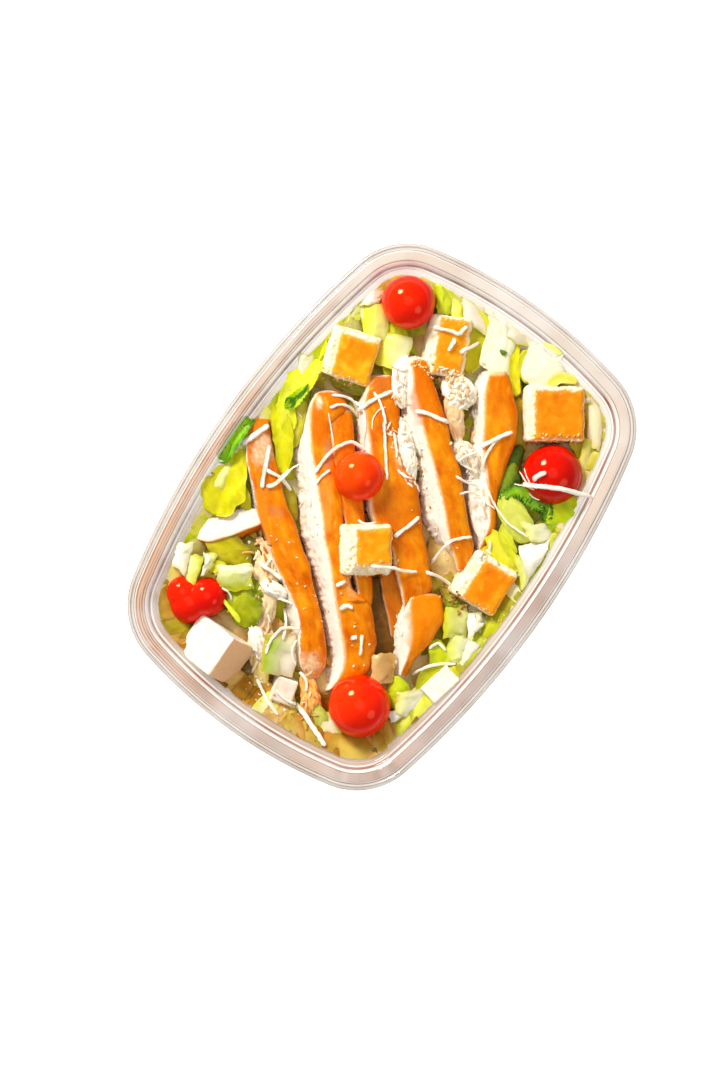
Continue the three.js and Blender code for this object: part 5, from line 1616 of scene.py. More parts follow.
def chunk(b, k, a, b_, c_, d, z, first, second, thick):
    """A cut piece of leaf or rib: a bowed four-sided slab with one soft fold along it."""
    nu, nv = 22, 18
    s, t = np.linspace(-1, 1, nu)[:, None], np.linspace(-1, 1, nv)[None, :]
    # the corners are rounded off
    u = 0.5 + 0.5 * s * np.sqrt(1 - 0.05 * t**2)
    v = 0.5 + 0.5 * t * np.sqrt(1 - 0.05 * s**2)
    a, b_, c_, d = (np.array(q, float) for q in (a, b_, c_, d))
    mid = (a + b_ + c_ + d) / 4
    a, b_, c_, d = (mid + (q - mid) * 1.2 for q in (a, b_, c_, d))
    rs = np.random.default_rng(k + 400)
    lean = rs.uniform(-0.5, 0.5, 2)
    crest = rs.uniform(0.25, 0.6)
    xy = (
        (1 - u)[..., None] * (1 - v)[..., None] * a + u[..., None] * (1 - v)[..., None] * b_
        + u[..., None] * v[..., None] * c_ + (1 - u)[..., None] * v[..., None] * d
    )  # fmt: skip
    wave = xyz(u * 2.2, v * 1.9, k * 3.3)
    xy = xy + np.stack([fbm(wave * 1.4, 3, k), fbm(wave * 1.4 + 9, 3, k + 1)], -1) * 5.0
    width = np.linalg.norm(d - a) * PX
    bend = crest + 0.25 * noise(xyz(u * 1.6, 0, k), k)
    fold = 1 - np.sqrt((v - bend) ** 2 + 0.006) / np.maximum(crest, 1 - crest)
    zz = z + width * 0.2 * fold + 0.5 * fbm(wave * 0.8, 2, k + 2) + (u - 0.5) * lean[0] * 2.4 + (v - 0.5) * lean[1] * 2.4
    p = P(xy[..., 0], xy[..., 1], zz)
    tone = fbm(wave * 0.7, 2, k + 6)
    col = mix(lin(first), lin(second), step(0.05, 0.95, v + 0.35 * tone))
    col = mix(col, np.clip(lin(first) * [0.86, 0.9, 0.5], 0, 1), step(0.05, 0.55, tone) * 0.35)
    rim = np.minimum(1 - np.abs(s) + 0 * t, 1 - np.abs(t) + 0 * s) + 0.25 * tone
    px, py = mid
    green = lin((206, 200, 20)) if px > 430 or py < 560 or px < 262 else lin((214, 176, 90))
    col = mix(col, green, step(0.3, -0.05, rim) * (0.75 if min(first) < 200 or min(second) < 200 else 0.35))
    shell(b, keep_in(p, 0.5 + thick / 2), col, 0.7 * thick * (0.35 + 0.65 * step(0.0, 0.4, rim)))


def region(px, py):
    """The leaf colours (middle, edge) found around a pixel."""
    if py > 716 or (py > 640 and px < 262):
        return [((216, 150, 56), (170, 104, 20)), ((238, 192, 110), (194, 132, 42)), ((178, 120, 22), (130, 84, 10)), ((226, 194, 84), (182, 138, 36))]
    if px < 200 and py > 600:
        return [((206, 160, 60), (160, 120, 30)), ((240, 214, 130), (206, 160, 60)), ((190, 170, 40), (150, 120, 20))]
    if px < 262 and py > 400:
        return [((248, 244, 70), (226, 232, 10)), ((250, 238, 140), (244, 226, 80)), ((238, 238, 20), (206, 220, 0)), ((252, 250, 190), (244, 240, 90))]
    if py < 430 and px < 372:
        return [((232, 240, 20), (200, 224, 0)), ((248, 244, 100), (226, 230, 20)), ((254, 250, 200), (246, 242, 120)), ((214, 226, 20), (170, 200, 0))]
    if py < 330:
        return [((250, 240, 200), (244, 226, 180)), ((236, 236, 80), (206, 214, 20)), ((248, 244, 150), (232, 230, 60))]
    if px > 430 and py < 380:
        return [((250, 236, 206), (244, 224, 180)), ((246, 240, 190), (230, 222, 120)), ((222, 220, 50), (190, 190, 10))]
    if px > 540 and py < 520:
        return [((244, 228, 186), (230, 208, 150)), ((214, 200, 80), (180, 164, 30)), ((236, 222, 150), (210, 190, 80))]
    if px > 430 and py > 500:
        return [((200, 200, 14), (166, 166, 0)), ((226, 226, 80), (190, 194, 14)), ((250, 246, 206), (232, 230, 130)), ((182, 170, 30), (150, 130, 20))]
    return [((236, 236, 60), (206, 212, 14)), ((250, 246, 180), (232, 232, 90)), ((206, 210, 20), (170, 176, 6))]


def collar(b):
    """Leaf edges packed against the wall just under the ledge, all the way round."""
    rng = np.random.default_rng(63)
    n, pieces = 720, 96
    s = np.linspace(0, ARC[-1], n + 1)[:, None]
    cuts = np.sort(rng.uniform(0, ARC[-1], pieces))
    piece = np.searchsorted(cuts, s[:, 0]) % pieces
    near = np.abs(s - cuts[None]).min(1)[:, None]
    row_z = np.array([[36.0, 40.0, 42.3, 43.3, 43.7, 43.4, 42.4, 41.0, 39.0]])
    row_in = np.array([[1.4, 0.8, 0.3, 0.22, 0.5, 1.5, 3.0, 5.0, 7.0]])
    circle = s / ARC[-1] * 2 * math.pi
    at = xyz(np.cos(circle) * 82, np.sin(circle) * 82, row_in * 2.5)
    lift = rng.uniform(-0.4, 0.3, pieces)[piece]
    lift = np.convolve(np.pad(lift, 2, mode="wrap"), [0.2] * 5, "valid")[:, None]
    z = row_z + lift * (row_z > 41) + 0.5 * fbm(at * 0.3, 3, 5) - 0.5 * np.exp(-((near / 0.5) ** 2)) * (row_in > 0.8)
    p = wall_point(ring_at(s) + 0 * z, np.clip(z, 30, 43.9), np.clip(row_in + 0.4 * fbm(at * 0.4, 2, 6) * (row_in > 0.4), 0.22, 9))
    tone = fbm(at * 0.22, 3, 9)
    c = np.empty(z.shape + (3,))
    for k in range(pieces):
        mine = piece == k
        px, py = to_px(*wall_point(ring_at(cuts[k]), np.array(42.0), np.array(2.0))[:2])
        options = region(px, py)
        mid, edge = options[rng.integers(len(options))]
        c[mine] = mix(lin(mid), lin(edge), step(-0.3, 0.5, tone[mine]))
    # painted shadow: darker where two pieces meet
    c = c * (1 - 0.4 * np.exp(-((near / 0.35) ** 2)))[..., None]
    shell(b, p, c, 0.4)


def bank_leaves():
    """Leaves leaning on the wall all round, up to just under the ledge."""
    rng = np.random.default_rng(61)
    b = Build()
    collar(b)
    count = 120
    for k in range(count):
        s0 = k * ARC[-1] / count + rng.uniform(-1.5, 1.5)
        length = rng.uniform(9, 19)
        nu, nv = 12, 8
        u = np.linspace(-0.5, 0.5, nu)[:, None] * np.ones((1, nv))
        v = np.linspace(0, 1, nv)[None, :] * np.ones((nu, 1))
        high = rng.uniform(42.8, 43.8)
        slope = rng.uniform(-1.1, 1.1)
        reach = rng.uniform(3.5, 7.5)
        drop_ = rng.uniform(2.5, 6.5)
        narrow = 1 - 0.45 * v**2
        z = high + slope * u * 1.6 - drop_ * v**1.3 + 0.7 * fbm(xyz(u * 3, v * 2, k), 2, k)
        deep = 0.4 + reach * v + 0.4 * np.clip(fbm(xyz(u * 2.4, v * 2.2, k + 40), 2, k), -1, 1)
        p = wall_point(ring_at(s0 + u * narrow * length), np.clip(z, 30, 44.0), np.clip(deep, 0.3, 9.0))
        px, py = to_px(*wall_point(ring_at(s0), np.array(42.0), np.array(2.0))[:2])
        options = region(px, py)
        mid, edge = options[rng.integers(len(options))]
        tone = fbm(xyz(u * 2.0, v * 1.6, k + 0.5), 3, k + 3)
        c = mix(lin(mid), lin(edge), step(0.0, 0.9, np.abs(u) * 1.4 + 0.4 * v + 0.5 * tone))
        shell(b, p, c, 0.5)
    return b.object("lettuce_bank", LEAF, "lettuce", crisp=55)


def make_leaves():
    blades, ribs = Build(), Build()
    for k, spec in enumerate(CHUNKS):
        chunk(ribs, k, *spec)
    for k, (kind, spine, mid, edge, more) in enumerate(LEAVES):
        more = dict(more)
        if kind == "rib":
            more["curl"] = more.get("curl", -0.12) * 0.6
            more.setdefault("thick", 1.3)
            more.setdefault("crumple", 0.9)
            more.setdefault("veins", 0.12)
            more.setdefault("ends", 18.0)
            more.setdefault("jag", 0.3)
            more.setdefault("slant", 0.7)
            more.setdefault("pleat", 0.12)
            leaf(ribs, spine, mid, edge, seed=k + 1, nu=22, nv=13, **more)
        elif kind == "leaf":
            more.setdefault("curl", 0.1)
            fine = more.get("frill", 0) > 1
            leaf(blades, spine, mid, edge, seed=k + 1, nu=36 if fine else 24, nv=16 if fine else 12, **more)
    return blades.object("lettuce_leaves", LEAF, "lettuce", crisp=60), ribs.object("lettuce_ribs", RIB, "lettuce", crisp=50)


def filler_leaves():
    """Smaller leaves over the whole heap, under the listed ones."""
    rng = np.random.default_rng(5)
    b = Build()
    warm = [((214, 160, 70), (176, 118, 34)), ((240, 208, 140), (206, 150, 70)), ((200, 190, 60), (160, 130, 30))]
    for gx in np.arange(-54, 56, 10.5):
        for gy in np.arange(-80, 84, 10.5):
            x, y = gx + rng.uniform(-4, 4), gy + rng.uniform(-4, 4)
            if math.hypot(x, y) > float(reach_at(np.array(math.atan2(y, x)), np.array(38.0), 4.0)):
                continue
            z = float(lettuce_top(np.array(x), np.array(y))) + rng.uniform(0.2, 2.0)
            px, py = to_px(x, y)
            ang = rng.uniform(0, math.pi)
            ln, w = rng.uniform(20, 38), rng.uniform(13, 22)
            dx, dy = math.cos(ang) * ln, math.sin(ang) * ln
            bend = rng.uniform(-0.3, 0.3) * ln
            across = (px - CX) / 95.0
            near = y < -52 and x < 22
            middle = abs(across) < 0.75 and abs(py - CY) < 170
            options = region(px, py)
            # in the middle, under the chicken, most leaves take the brown colours as painted shadow; at the near end
            # they take them too
            mid, edge = warm[rng.integers(3)] if near or (middle and rng.random() < 0.75) else options[rng.integers(len(options))]
            spine = [
                (px - dx, py - dy, z - 1.4, w * 0.6), (px + dy / ln * bend * 0.3, py - dx / ln * bend * 0.3, z + 0.6, w),
                (px + dx, py + dy, z - 1.6, w * 0.6),
            ]  # fmt: skip
            leaf(
                b, spine, mid, edge, curl=rng.uniform(-0.2, 0.35), frill=rng.uniform(0, 0.9), freq=rng.uniform(4, 9),
                crumple=1.2, seed=int(rng.integers(1, 9999)), nu=15, nv=8, thick=0.5,
            )  # fmt: skip
    return b.object("lettuce_under", LEAF, "lettuce", crisp=60)


# ------------------------------------------------------------------ fibres, torn meat, cheese, crumbs


def tubes(b, paths, radii, colours, sides=5, flat_=0.75, turn_=0.0):
    """Many small closed tubes at once: paths (N, R, 3), radii (N, R), colours (N, 3) or (N, R, 3)."""
    paths = np.asarray(paths, float)
    n, r = paths.shape[:2]
    t = np.gradient(paths, axis=1)
    t /= np.maximum(np.linalg.norm(t, axis=-1, keepdims=True), 1e-9)
    side = np.cross(t, [0.01, 0.02, 1.0])
    side /= np.maximum(np.linalg.norm(side, axis=-1, keepdims=True), 1e-9)
    up = np.cross(side, t)
    a = np.arange(sides) * 2 * math.pi / sides + turn_
    ring = (
        side[:, :, None] * np.cos(a)[None, None, :, None] + up[:, :, None] * np.sin(a)[None, None, :, None] * flat_
    )
    p = paths[:, :, None] + ring * np.asarray(radii)[:, :, None, None]
    colours = np.asarray(colours, float)
    if colours.ndim == 2:
        colours = np.repeat(colours[:, None], r, 1)
    c = np.repeat(colours[:, :, None], sides, 2)
    one = grid_faces(r, sides, True)
    off = (np.arange(n) * r * sides)[:, None, None]
    faces = (one[None] + off).reshape(-1, 4)
    cap0 = (np.arange(sides)[::-1][None] + off[:, 0]).reshape(n, sides)
    cap1 = (((r - 1) * sides + np.arange(sides))[None] + off[:, 0]).reshape(n, sides)
    b.add(p.reshape(-1, 3), [faces, cap0, cap1], c.reshape(-1, 3))


def bvh():
    pts, polys, n = [], [], 0
    for p, f in EVERYTHING:
        pts.extend((p / 1.0).tolist())
        polys.extend([[i + n for i in q] for q in f])
        n += len(p)
    return BVHTree.FromPolygons(pts, polys, all_triangles=False)


def drop(tree, px, py):
    """Where the line from the camera through a pixel first meets what has been made."""
    eye = Vector((EYE[0], EYE[1], HIGH))
    at = Vector(P(px, py, 20.0).tolist())
    d = (at - eye).normalized()
    hit, normal, _, _ = tree.ray_cast(eye, d)
    if hit is None:
        return P(px, py, 36.0), np.array([0, 0, 1.0])
    if normal.z < 0:
        normal = -normal
    return np.array(hit), np.array(normal)


def fibres(b, places, rng, length=(2.0, 5.0), radius=(0.18, 0.42), colours=(WHITE, (250, 226, 196), (226, 178, 128)), lift=(0.0, 0.8), lie=None, wild=0.5):
    """Short meat fibres at (point, normal) places; lie is the way that they run."""
    n = len(places)
    if not n:
        return
    pts = np.array([q[0] for q in places])
    nor = np.array([q[1] for q in places])
    ln = rng.uniform(*length, n)
    if lie is None:
        a = rng.uniform(0, 2 * math.pi, n)
        d = np.stack([np.cos(a), np.sin(a), rng.uniform(-0.2, 0.3, n)], 1)
    else:
        d = np.broadcast_to(np.asarray(lie, float), (n, 3)) + rng.normal(0, wild, (n, 3)) * [1, 1, 0.4]
    d = d - nor * (d * nor).sum(1, keepdims=True) * 0.8
    d /= np.maximum(np.linalg.norm(d, axis=1, keepdims=True), 1e-9)
    bend = np.cross(d, nor) * rng.uniform(-0.5, 0.5, (n, 1)) + nor * rng.uniform(0.0, 0.35, (n, 1))
    R = 7
    t = np.linspace(-0.5, 0.5, R)
    up = rng.uniform(*lift, n)
    paths = (
        pts[:, None] + nor[:, None] * (0.05 + up[:, None, None]) + d[:, None] * (t[None, :, None] * ln[:, None, None])
        + bend[:, None] * ((0.25 - t**2)[None, :, None] * ln[:, None, None])
    )  # fmt: skip
    r = rng.uniform(*radius, n)[:, None] * np.sqrt(np.clip(1 - (2 * np.abs(t)) ** 3, 0.04, 1))[None]
    r = r * rng.uniform(0.8, 1.2, (n, R))
    pal = np.array([lin(c) for c in colours])
    c = pal[rng.integers(len(pal), size=n)] * rng.uniform(0.92, 1.0, (n, 1))
    tubes(b, keep_in(paths, 0.4), r, c, sides=5, flat_=0.8)


def make_lump(name, spine, depth, seed, shade, pale, brown, material, slot, replaces, soft=0.0, relief=0.7):
    """A torn piece of meat: a ragged tube along (px, py, z, half width px)."""
    s = np.array(spine, float)
    mid = P(s[:, 0], s[:, 1], s[:, 2])
    length = np.linalg.norm(np.diff(mid, axis=0), axis=1).sum()
    nu, nv = max(24, int(length / 0.4)), 56
    t = np.linspace(0, 1, nu)
    q = rows_at(s, t)
    c = P(q[:, 0], q[:, 1], q[:, 2])
    w = q[:, 3] * PX * np.sqrt(np.clip(1 - np.abs(2 * t - 1) ** 4, 0.01, 1))
    d = np.gradient(c, axis=0)
    d /= np.linalg.norm(d, axis=1, keepdims=True)
    side = np.cross(d, [0, 0, 1.0])
    side /= np.linalg.norm(side, axis=1, keepdims=True)
    a = np.linspace(0, 2 * math.pi, nv, endpoint=False)
    ca, sa = np.cos(a), np.sin(a)
    rad_z = np.where(sa > 0, 0.42, 1.0) * depth * 0.5
    p = (
        c[:, None] - [0, 0, depth * 0.2] + side[:, None] * (w[:, None] * ca[None])[..., None]
        + np.array([0, 0, 1.0]) * ((w / w.max())[:, None] * (rad_z * sa)[None])[..., None]
    )  # fmt: skip
    S = t * length
    g = xyz(S[:, None] * 0.28, (a * 4.0)[None] * 0.5, seed * 5.5)
    n = normals_of_grid(p, True)
    n *= np.sign((n * (p - p.mean(1, keepdims=True))).sum(-1).mean())
    ridged = 1 - np.abs(fbm(g * [0.8, 1.5, 1], 3, seed)) * 2.4
    lump_ = fbm(g * [1.2, 1.0, 1], 2, seed + 3)
    grain = fbm(g * [3.2, 4.5, 1], 2, seed + 7)
    p = p + n * (relief * (1.3 * (ridged - 0.4) + 1.5 * lump_ + 0.1 * grain))[..., None]
    # painted shade: the cracks and hollows take the darker two colours
    col = mix(lin(brown), lin(shade), step(-0.3, 0.1, ridged + 0.15 * grain + soft))
    col = mix(col, lin(pale), step(0.1, 0.55, ridged + 0.3 * lump_ + soft))
    b = Build()
    ends = [np.arange(nv)[None, ::-1], ((nu - 1) * nv + np.arange(nv))[None, :]]
    b.add(keep_in(p, 0.4), [grid_faces(nu, nv, True), *ends], col.reshape(-1, 3))
    ob = b.object(name, material, slot)
    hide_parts(*replaces)
    return ob


CHEESE_PATHS = [
    # points (px), width mm
    ([(315, 473), (322, 462), (331, 452), (340, 446), (352, 442), (365, 450)], 1.5),
    ([(358, 411), (366, 405), (375, 399), (392, 391)], 1.7),
    ([(332, 395), (342, 396), (352, 400), (357, 408), (357, 415)], 1.2),
    ([(330, 408), (337, 405), (345, 405), (353, 410), (358, 418)], 1.2),
    ([(384, 423), (385, 440), (386, 460), (387, 480)], 1.3),
    ([(416, 411), (426, 413), (438, 418), (449, 422)], 1.8),
    ([(481, 447), (490, 442), (500, 437), (512, 432)], 1.9),
    ([(484, 473), (488, 490), (496, 507), (508, 523), (528, 537)], 0.9),
    ([(523, 484), (534, 486), (546, 487), (566, 490), (592, 497)], 2.0),
    ([(394, 537), (402, 531), (410, 525), (419, 517)], 1.6),
    ([(431, 563), (440, 552), (450, 542), (462, 538), (472, 537)], 1.3),
    ([(371, 566), (382, 567), (393, 568), (404, 571), (417, 572)], 1.4),
    ([(425, 572), (435, 575), (444, 580), (451, 585)], 1.4),
    ([(429, 649), (434, 645), (439, 643), (446, 651)], 1.2),
    ([(412, 675), (422, 669), (434, 665), (445, 664), (456, 664)], 1.3),
    ([(242, 444), (251, 438), (260, 431), (269, 425)], 2.3),
    ([(262, 488), (264, 474), (267, 460), (269, 446)], 1.7),
    ([(267, 487), (275, 484), (282, 478), (291, 469)], 1.7),
    ([(266, 470), (274, 474), (281, 478), (286, 484), (291, 491)], 1.5),
    ([(281, 478), (290, 470), (300, 464)], 0.8),
    ([(259, 562), (266, 568), (274, 573), (281, 579)], 1.6),
    ([(284, 608), (286, 620), (285, 630), (283, 640)], 1.1),
    ([(266, 654), (270, 642), (281, 629), (290, 628), (299, 629)], 1.2),
    ([(257, 679), (262, 690), (268, 702), (278, 715)], 1.4),
    ([(296, 703), (304, 714), (312, 726), (320, 738), (325, 746)], 2.1),
    ([(433, 327), (442, 329), (451, 331), (460, 335)], 1.5),
    ([(455, 338), (452, 345), (448, 351)], 1.6),
    ([(460, 353), (466, 349), (472, 347), (479, 342)], 1.5),
    ([(459, 335), (463, 330), (467, 326)], 1.5),
    ([(366, 424), (364, 436), (363, 448)], 1.0),
    ([(374, 392), (380, 402), (384, 414), (386, 424)], 1.1),
    ([(352, 400), (358, 404), (364, 412), (366, 424)], 0.9),
    ([(398, 470), (404, 476), (412, 478)], 0.9),
    ([(500, 436), (492, 446), (486, 456), (482, 470)], 1.2),
    ([(296, 640), (292, 652), (296, 666)], 0.9),
    ([(276, 598), (284, 600), (292, 604)], 1.0),
    ([(330, 470), (322, 476), (316, 484)], 1.1),
    ([(455, 456), (462, 464), (472, 470)], 1.0),
    ([(358, 520), (366, 524), (376, 522)], 0.9),
    ([(232, 600), (228, 592), (222, 588)], 0.9),
    ([(276, 690), (286, 700), (296, 704)], 1.1),
    ([(300, 672), (306, 680), (306, 692)], 1.2),
    ([(362, 635), (361.5, 645), (360, 656)], 1.3),
    ([(351, 638), (357, 637)], 1.6),
    ([(340, 609), (347, 606), (353, 608)], 1.7),
    ([(336, 586), (342, 583), (345, 582)], 1.5),
    ([(394, 433), (396, 446), (397, 458)], 1.0),
    ([(413, 434), (418, 444), (421, 456)], 0.9),
    ([(519, 470), (526, 482), (534, 490)], 0.6),
    ([(524, 468), (528, 480), (534, 488)], 0.5),
    ([(514, 484), (524, 486), (534, 490)], 0.55),
    ([(528, 492), (534, 498), (540, 500)], 0.6),
    ([(533, 480), (539, 475), (546, 473)], 2.0),
    ([(458, 462), (466, 456), (478, 452)], 1.0),
    ([(456, 476), (466, 482), (478, 486)], 1.1),
    ([(460, 494), (470, 492), (480, 496)], 0.9),
    ([(328.5, 413), (331, 428), (334, 446)], 0.6),
    ([(372, 430), (372.5, 420), (378, 411), (386, 407)], 0.6),
]  # fmt: skip


def make_cheese(tree):
    rng = np.random.default_rng(21)
    b = Build()
    for path, width in CHEESE_PATHS:
        q = np.array(path, float)
        seg = np.linalg.norm(np.diff(q, axis=0), axis=1).sum() * PX
        n = max(14, int(seg / 0.45))
        s = rows_at(q, np.linspace(0, 1, n))
        s = s + rng.normal(0, 0.25, s.shape)
        s[1:-1] = 0.25 * s[:-2] + 0.5 * s[1:-1] + 0.25 * s[2:]
        hits = np.array([drop(tree, x, y)[0] for x, y in s])
        z = hits[:, 2]
        k = max(1, int(1.6 / 0.45))
        top = np.array([z[max(0, i - k) : i + k + 1].max() for i in range(n)])
        # a strand bridges the gaps: its line is the upper hull, a little slack
        x = np.arange(n)
        hull = top.copy()
        for i in range(n):
            for j in range(i + 2, min(n, i + 24)):
                if all(top[i] + (top[j] - top[i]) * (m - i) / (j - i) >= top[m] - 0.2 for m in (i + 1, (i + j) // 2, j - 1)):
                    line = top[i] + (top[j] - top[i]) * (x[i : j + 1] - i) / (j - i)
                    hull[i : j + 1] = np.maximum(hull[i : j + 1], line - 0.15)
        z = hull
        for _ in range(3):
            z[1:-1] = 0.25 * z[:-2] + 0.5 * z[1:-1] + 0.25 * z[2:]
        p = P(s[:, 0], s[:, 1], z + width * 0.28)
        t = np.linspace(0, 1, n)
        r = 0.9 * width / 2 * np.sqrt(np.clip(1 - np.abs(2 * t - 1) ** 12, 0.2, 1)) * (1 + 0.3 * noise(xyz(t * seg * 0.5, 0, width), 4))
        shade = mix(lin((255, 248, 228)), lin((255, 226, 184)), step(0.1, 0.6, noise(xyz(t * seg * 0.3, 3, width), 9)))
        tubes(b, p[None], r[None], shade[None], sides=10, flat_=0.5, turn_=0.3)
    return b.object("cheese_strands", CHEESE, "lettuce", lies=False)


def blobs(b, places, sizes, colours, rng, flat_=0.75):
    """Small uneven crumbs at (point, normal) places."""
    phi = (1 + 5**0.5) / 2
    v = np.array(
        [(-1, phi, 0), (1, phi, 0), (-1, -phi, 0), (1, -phi, 0), (0, -1, phi), (0, 1, phi),
         (0, -1, -phi), (0, 1, -phi), (phi, 0, -1), (phi, 0, 1), (-phi, 0, -1), (-phi, 0, 1)], float
    )  # fmt: skip
    v /= np.linalg.norm(v[0])
    f = [(0, 11, 5), (0, 5, 1), (0, 1, 7), (0, 7, 10), (0, 10, 11), (1, 5, 9), (5, 11, 4), (11, 10, 2), (10, 7, 6), (7, 1, 8),
         (3, 9, 4), (3, 4, 2), (3, 2, 6), (3, 6, 8), (3, 8, 9), (4, 9, 5), (2, 4, 11), (6, 2, 10), (8, 6, 7), (9, 8, 1)]  # fmt: skip
    v, f = list(map(tuple, v)), list(f)
    cache, out = {}, []
    for x, y, z in f:
        m = []
        for p_, q_ in ((x, y), (y, z), (z, x)):
            key = (min(p_, q_), max(p_, q_))
            if key not in cache:
                w = (np.array(v[p_]) + v[q_]) / 2
                v.append(tuple(w / np.linalg.norm(w)))
                cache[key] = len(v) - 1
            m.append(cache[key])
        out += [(x, m[0], m[2]), (y, m[1], m[0]), (z, m[2], m[1]), (m[0], m[1], m[2])]
    v, f = np.array(v), np.array(out)
    n = len(places)
    pts = np.array([q[0] for q in places])
    nor = np.array([q[1] for q in places])
    sizes = np.asarray(sizes)
    stretch = rng.uniform(0.5, 1.6, (n, 1, 3))
    rough = 1 + rng.uniform(-0.4, 0.4, (n, len(v), 1))
    p = v[None] * stretch * rough * sizes[:, None, None] * [1, 1, flat_]
    p = p + pts[:, None] + nor[:, None] * (sizes * 0.3)[:, None, None]
    faces = (f[None] + (np.arange(n) * len(v))[:, None, None]).reshape(-1, 3)
    b.add(keep_in(p, 0.3).reshape(-1, 3), [faces], np.repeat(np.asarray(colours), len(v), 0))


def scatter(tree, rng, n, x0, y0, x1, y1, inside=None):
    out = []
    while len(out) < n:
        x, y = rng.uniform(x0, x1), rng.uniform(y0, y1)
        if inside is None or inside(x, y):
            out.append(drop(tree, x, y))
    return out


def along(path, spread):
    """A test for closeness to a line of pixels."""
    q = np.array(path, float)

    def f(x, y):
        a, b_ = q[:-1], q[1:]
        d = b_ - a
        t = np.clip((((x, y) - a) * d).sum(1) / (d**2).sum(1), 0, 1)
        return np.hypot(*(((x, y) - (a + d * t[:, None])).T)).min() < spread

    return f


def box_of(path, m):
    q = np.array(path, float)
    return q[:, 0].min() - m, q[:, 1].min() - m, q[:, 0].max() + m, q[:, 1].max() + m


# ------------------------------------------------------------------ assembly

make_tray()
make_core()
wall_leaves()
bank_leaves()
filler_leaves()
make_leaves()

TOPS = {
    "strip_4": tint_region(427, 628, 24, 60, (250, 140, 4), 0.6, 45),
    "strip_5": tint_region(424, 396, 15, 34, (220, 102, 2), 0.6, 48),
    "strip_1": several(
        blotch(262, 449, 13, 20, (244, 204, 164), 0.95, 45),
        tint_region(262, 522, 7, 50, (232, 132, 26), 0.95, 45),
        blotch(276, 512, 9, 7, (200, 130, 90), 0.6, 45),
        blotch(309, 664, 15, 13, (250, 214, 168), 1.0, 43),
        tint_region(314, 655, 3, 1.6, (170, 84, 30), 0.6, 43),
        tint_region(320, 661, 2.4, 1.4, (170, 84, 30), 0.6, 43),
    ),
    "strip_2": several(
        # a painted highlight on the strip's head
        blotch(319, 403, 4, 8, (255, 244, 214), 0.9),
        tint_region(320, 428, 9, 20, (222, 96, 2), 0.5, 46),
        tint_region(327, 500, 7, 34, (252, 166, 66), 0.55, 47),
        blotch(352, 586, 8, 15, (252, 196, 130), 0.6),
        tint_region(328, 456, 4.5, 17, (206, 130, 96), 0.75, 47),
        # painted shade in a crease across the strip
        tint_region(357, 602, 11, 1.8, (120, 50, 10), 0.7, 46),
    ),
    "strip_3": several(
        tint_region(380, 384, 14, 9, (196, 110, 40), 0.7),
        tint_region(396, 516, 22, 40, (206, 94, 2), 0.55, 45),
        blotch(404, 452, 12, 22, (252, 206, 150), 0.75),
        tint_region(372, 560, 8, 44, (196, 96, 20), 0.5),
        tint_region(386, 418, 9, 24, (206, 100, 20), 0.4),
    ),
    "strip_6": several(tint_region(497, 372, 10, 5, (255, 214, 150), 0.7), blotch(466, 522, 8, 16, (220, 150, 110), 0.8, 43)),
    # painted shadow: this low strip is darkened all over, and dark brown along its left edge in the gap beside strip_2
    "strip_3b": several(tint_region(386, 600, 30, 60, (190, 100, 24), 0.6, 42), tint_region(374, 600, 9, 60, (110, 60, 4), 0.9, 41)),
    # painted shade: a darker orange, as this strip lies lower in the shade of its neighbours
    "strip_2b": several(tint_region(346, 500, 30, 60, (236, 116, 14), 0.4, 45)),
}
MORE = {
    "strip_1": dict(tips=(0.9, 1.0), rim=0.2),
    "strip_2": dict(tips=(1.3, 0.8), sway_by=1.3),
    "strip_2b": dict(tips=(0.8, 0.0)),
    "strip_3": dict(tips=(1.2, 0.0)),
    "strip_4": dict(tips=(0.7, 0.6)),
    "strip_5": dict(tips=(3.0, 0.6), sway_by=1.5),
    "strip_6": dict(tips=(2.4, 0.6), sway_by=1.4),
}
for strip, spec in STRIPS.items():
    if spec["rows"]:
        make_strip(strip, spec["rows"], spec["depth"], spec["seed"], TOPS.get(strip), **MORE.get(strip, {}))
make_strip(
    "strip_short",
    [
        (205, 519, 200, 540, 200, 545, 42.6), (209.5, 517.6, 210, 541.5, 211, 549, 43.4), (222, 512.6, 222, 538, 224, 545.5, 43.8),
        (236, 508.6, 237, 533.5, 240, 539.5, 44.0), (249, 506, 250, 528, 252, 534, 44.0), (257, 510, 259.5, 524.5, 261, 530, 43.8),
        (262, 514, 263, 523, 264, 527, 43.4),
    ],
    9.0, 10, left_drop=1.4, right_drop=4.6, rough=0.35,
)  # fmt: skip
for spec in BLOCKS:
    make_block(*spec)
for k, spec in enumerate(TOMATOES):
    make_tomato(*spec, seed=k + 1)
PALE_MEAT = ((250, 212, 166), (255, 246, 226), (158, 90, 42))
TAN_MEAT = ((208, 154, 100), (240, 198, 144), (160, 92, 40))
make_lump("torn_pale_far", [(444, 378, 43.8, 7), (453, 385, 45.2, 13), (463, 396, 46.2, 13), (468, 406, 45.6, 8)], 7, 31, *PALE_MEAT, TORN, "torn_chicken", ["torn_a"], 0.15, 0.85)
make_lump("torn_tan_far", [(449, 394, 44.6, 6), (453, 408, 45.6, 9), (456, 424, 45.4, 8), (459, 442, 44.2, 5)], 6, 39, *TAN_MEAT, TORN, "torn_chicken", [], 0.1, 0.5)
make_lump("torn_knot", [(454, 443, 44.4, 5), (462, 450, 46.0, 9), (470, 458, 45.8, 9), (476, 470, 44.6, 7), (478, 480, 43.8, 5)], 7, 40, (242, 200, 150), (255, 240, 212), (92, 50, 20), TORN, "torn_chicken", [], 0.1, 0.85)
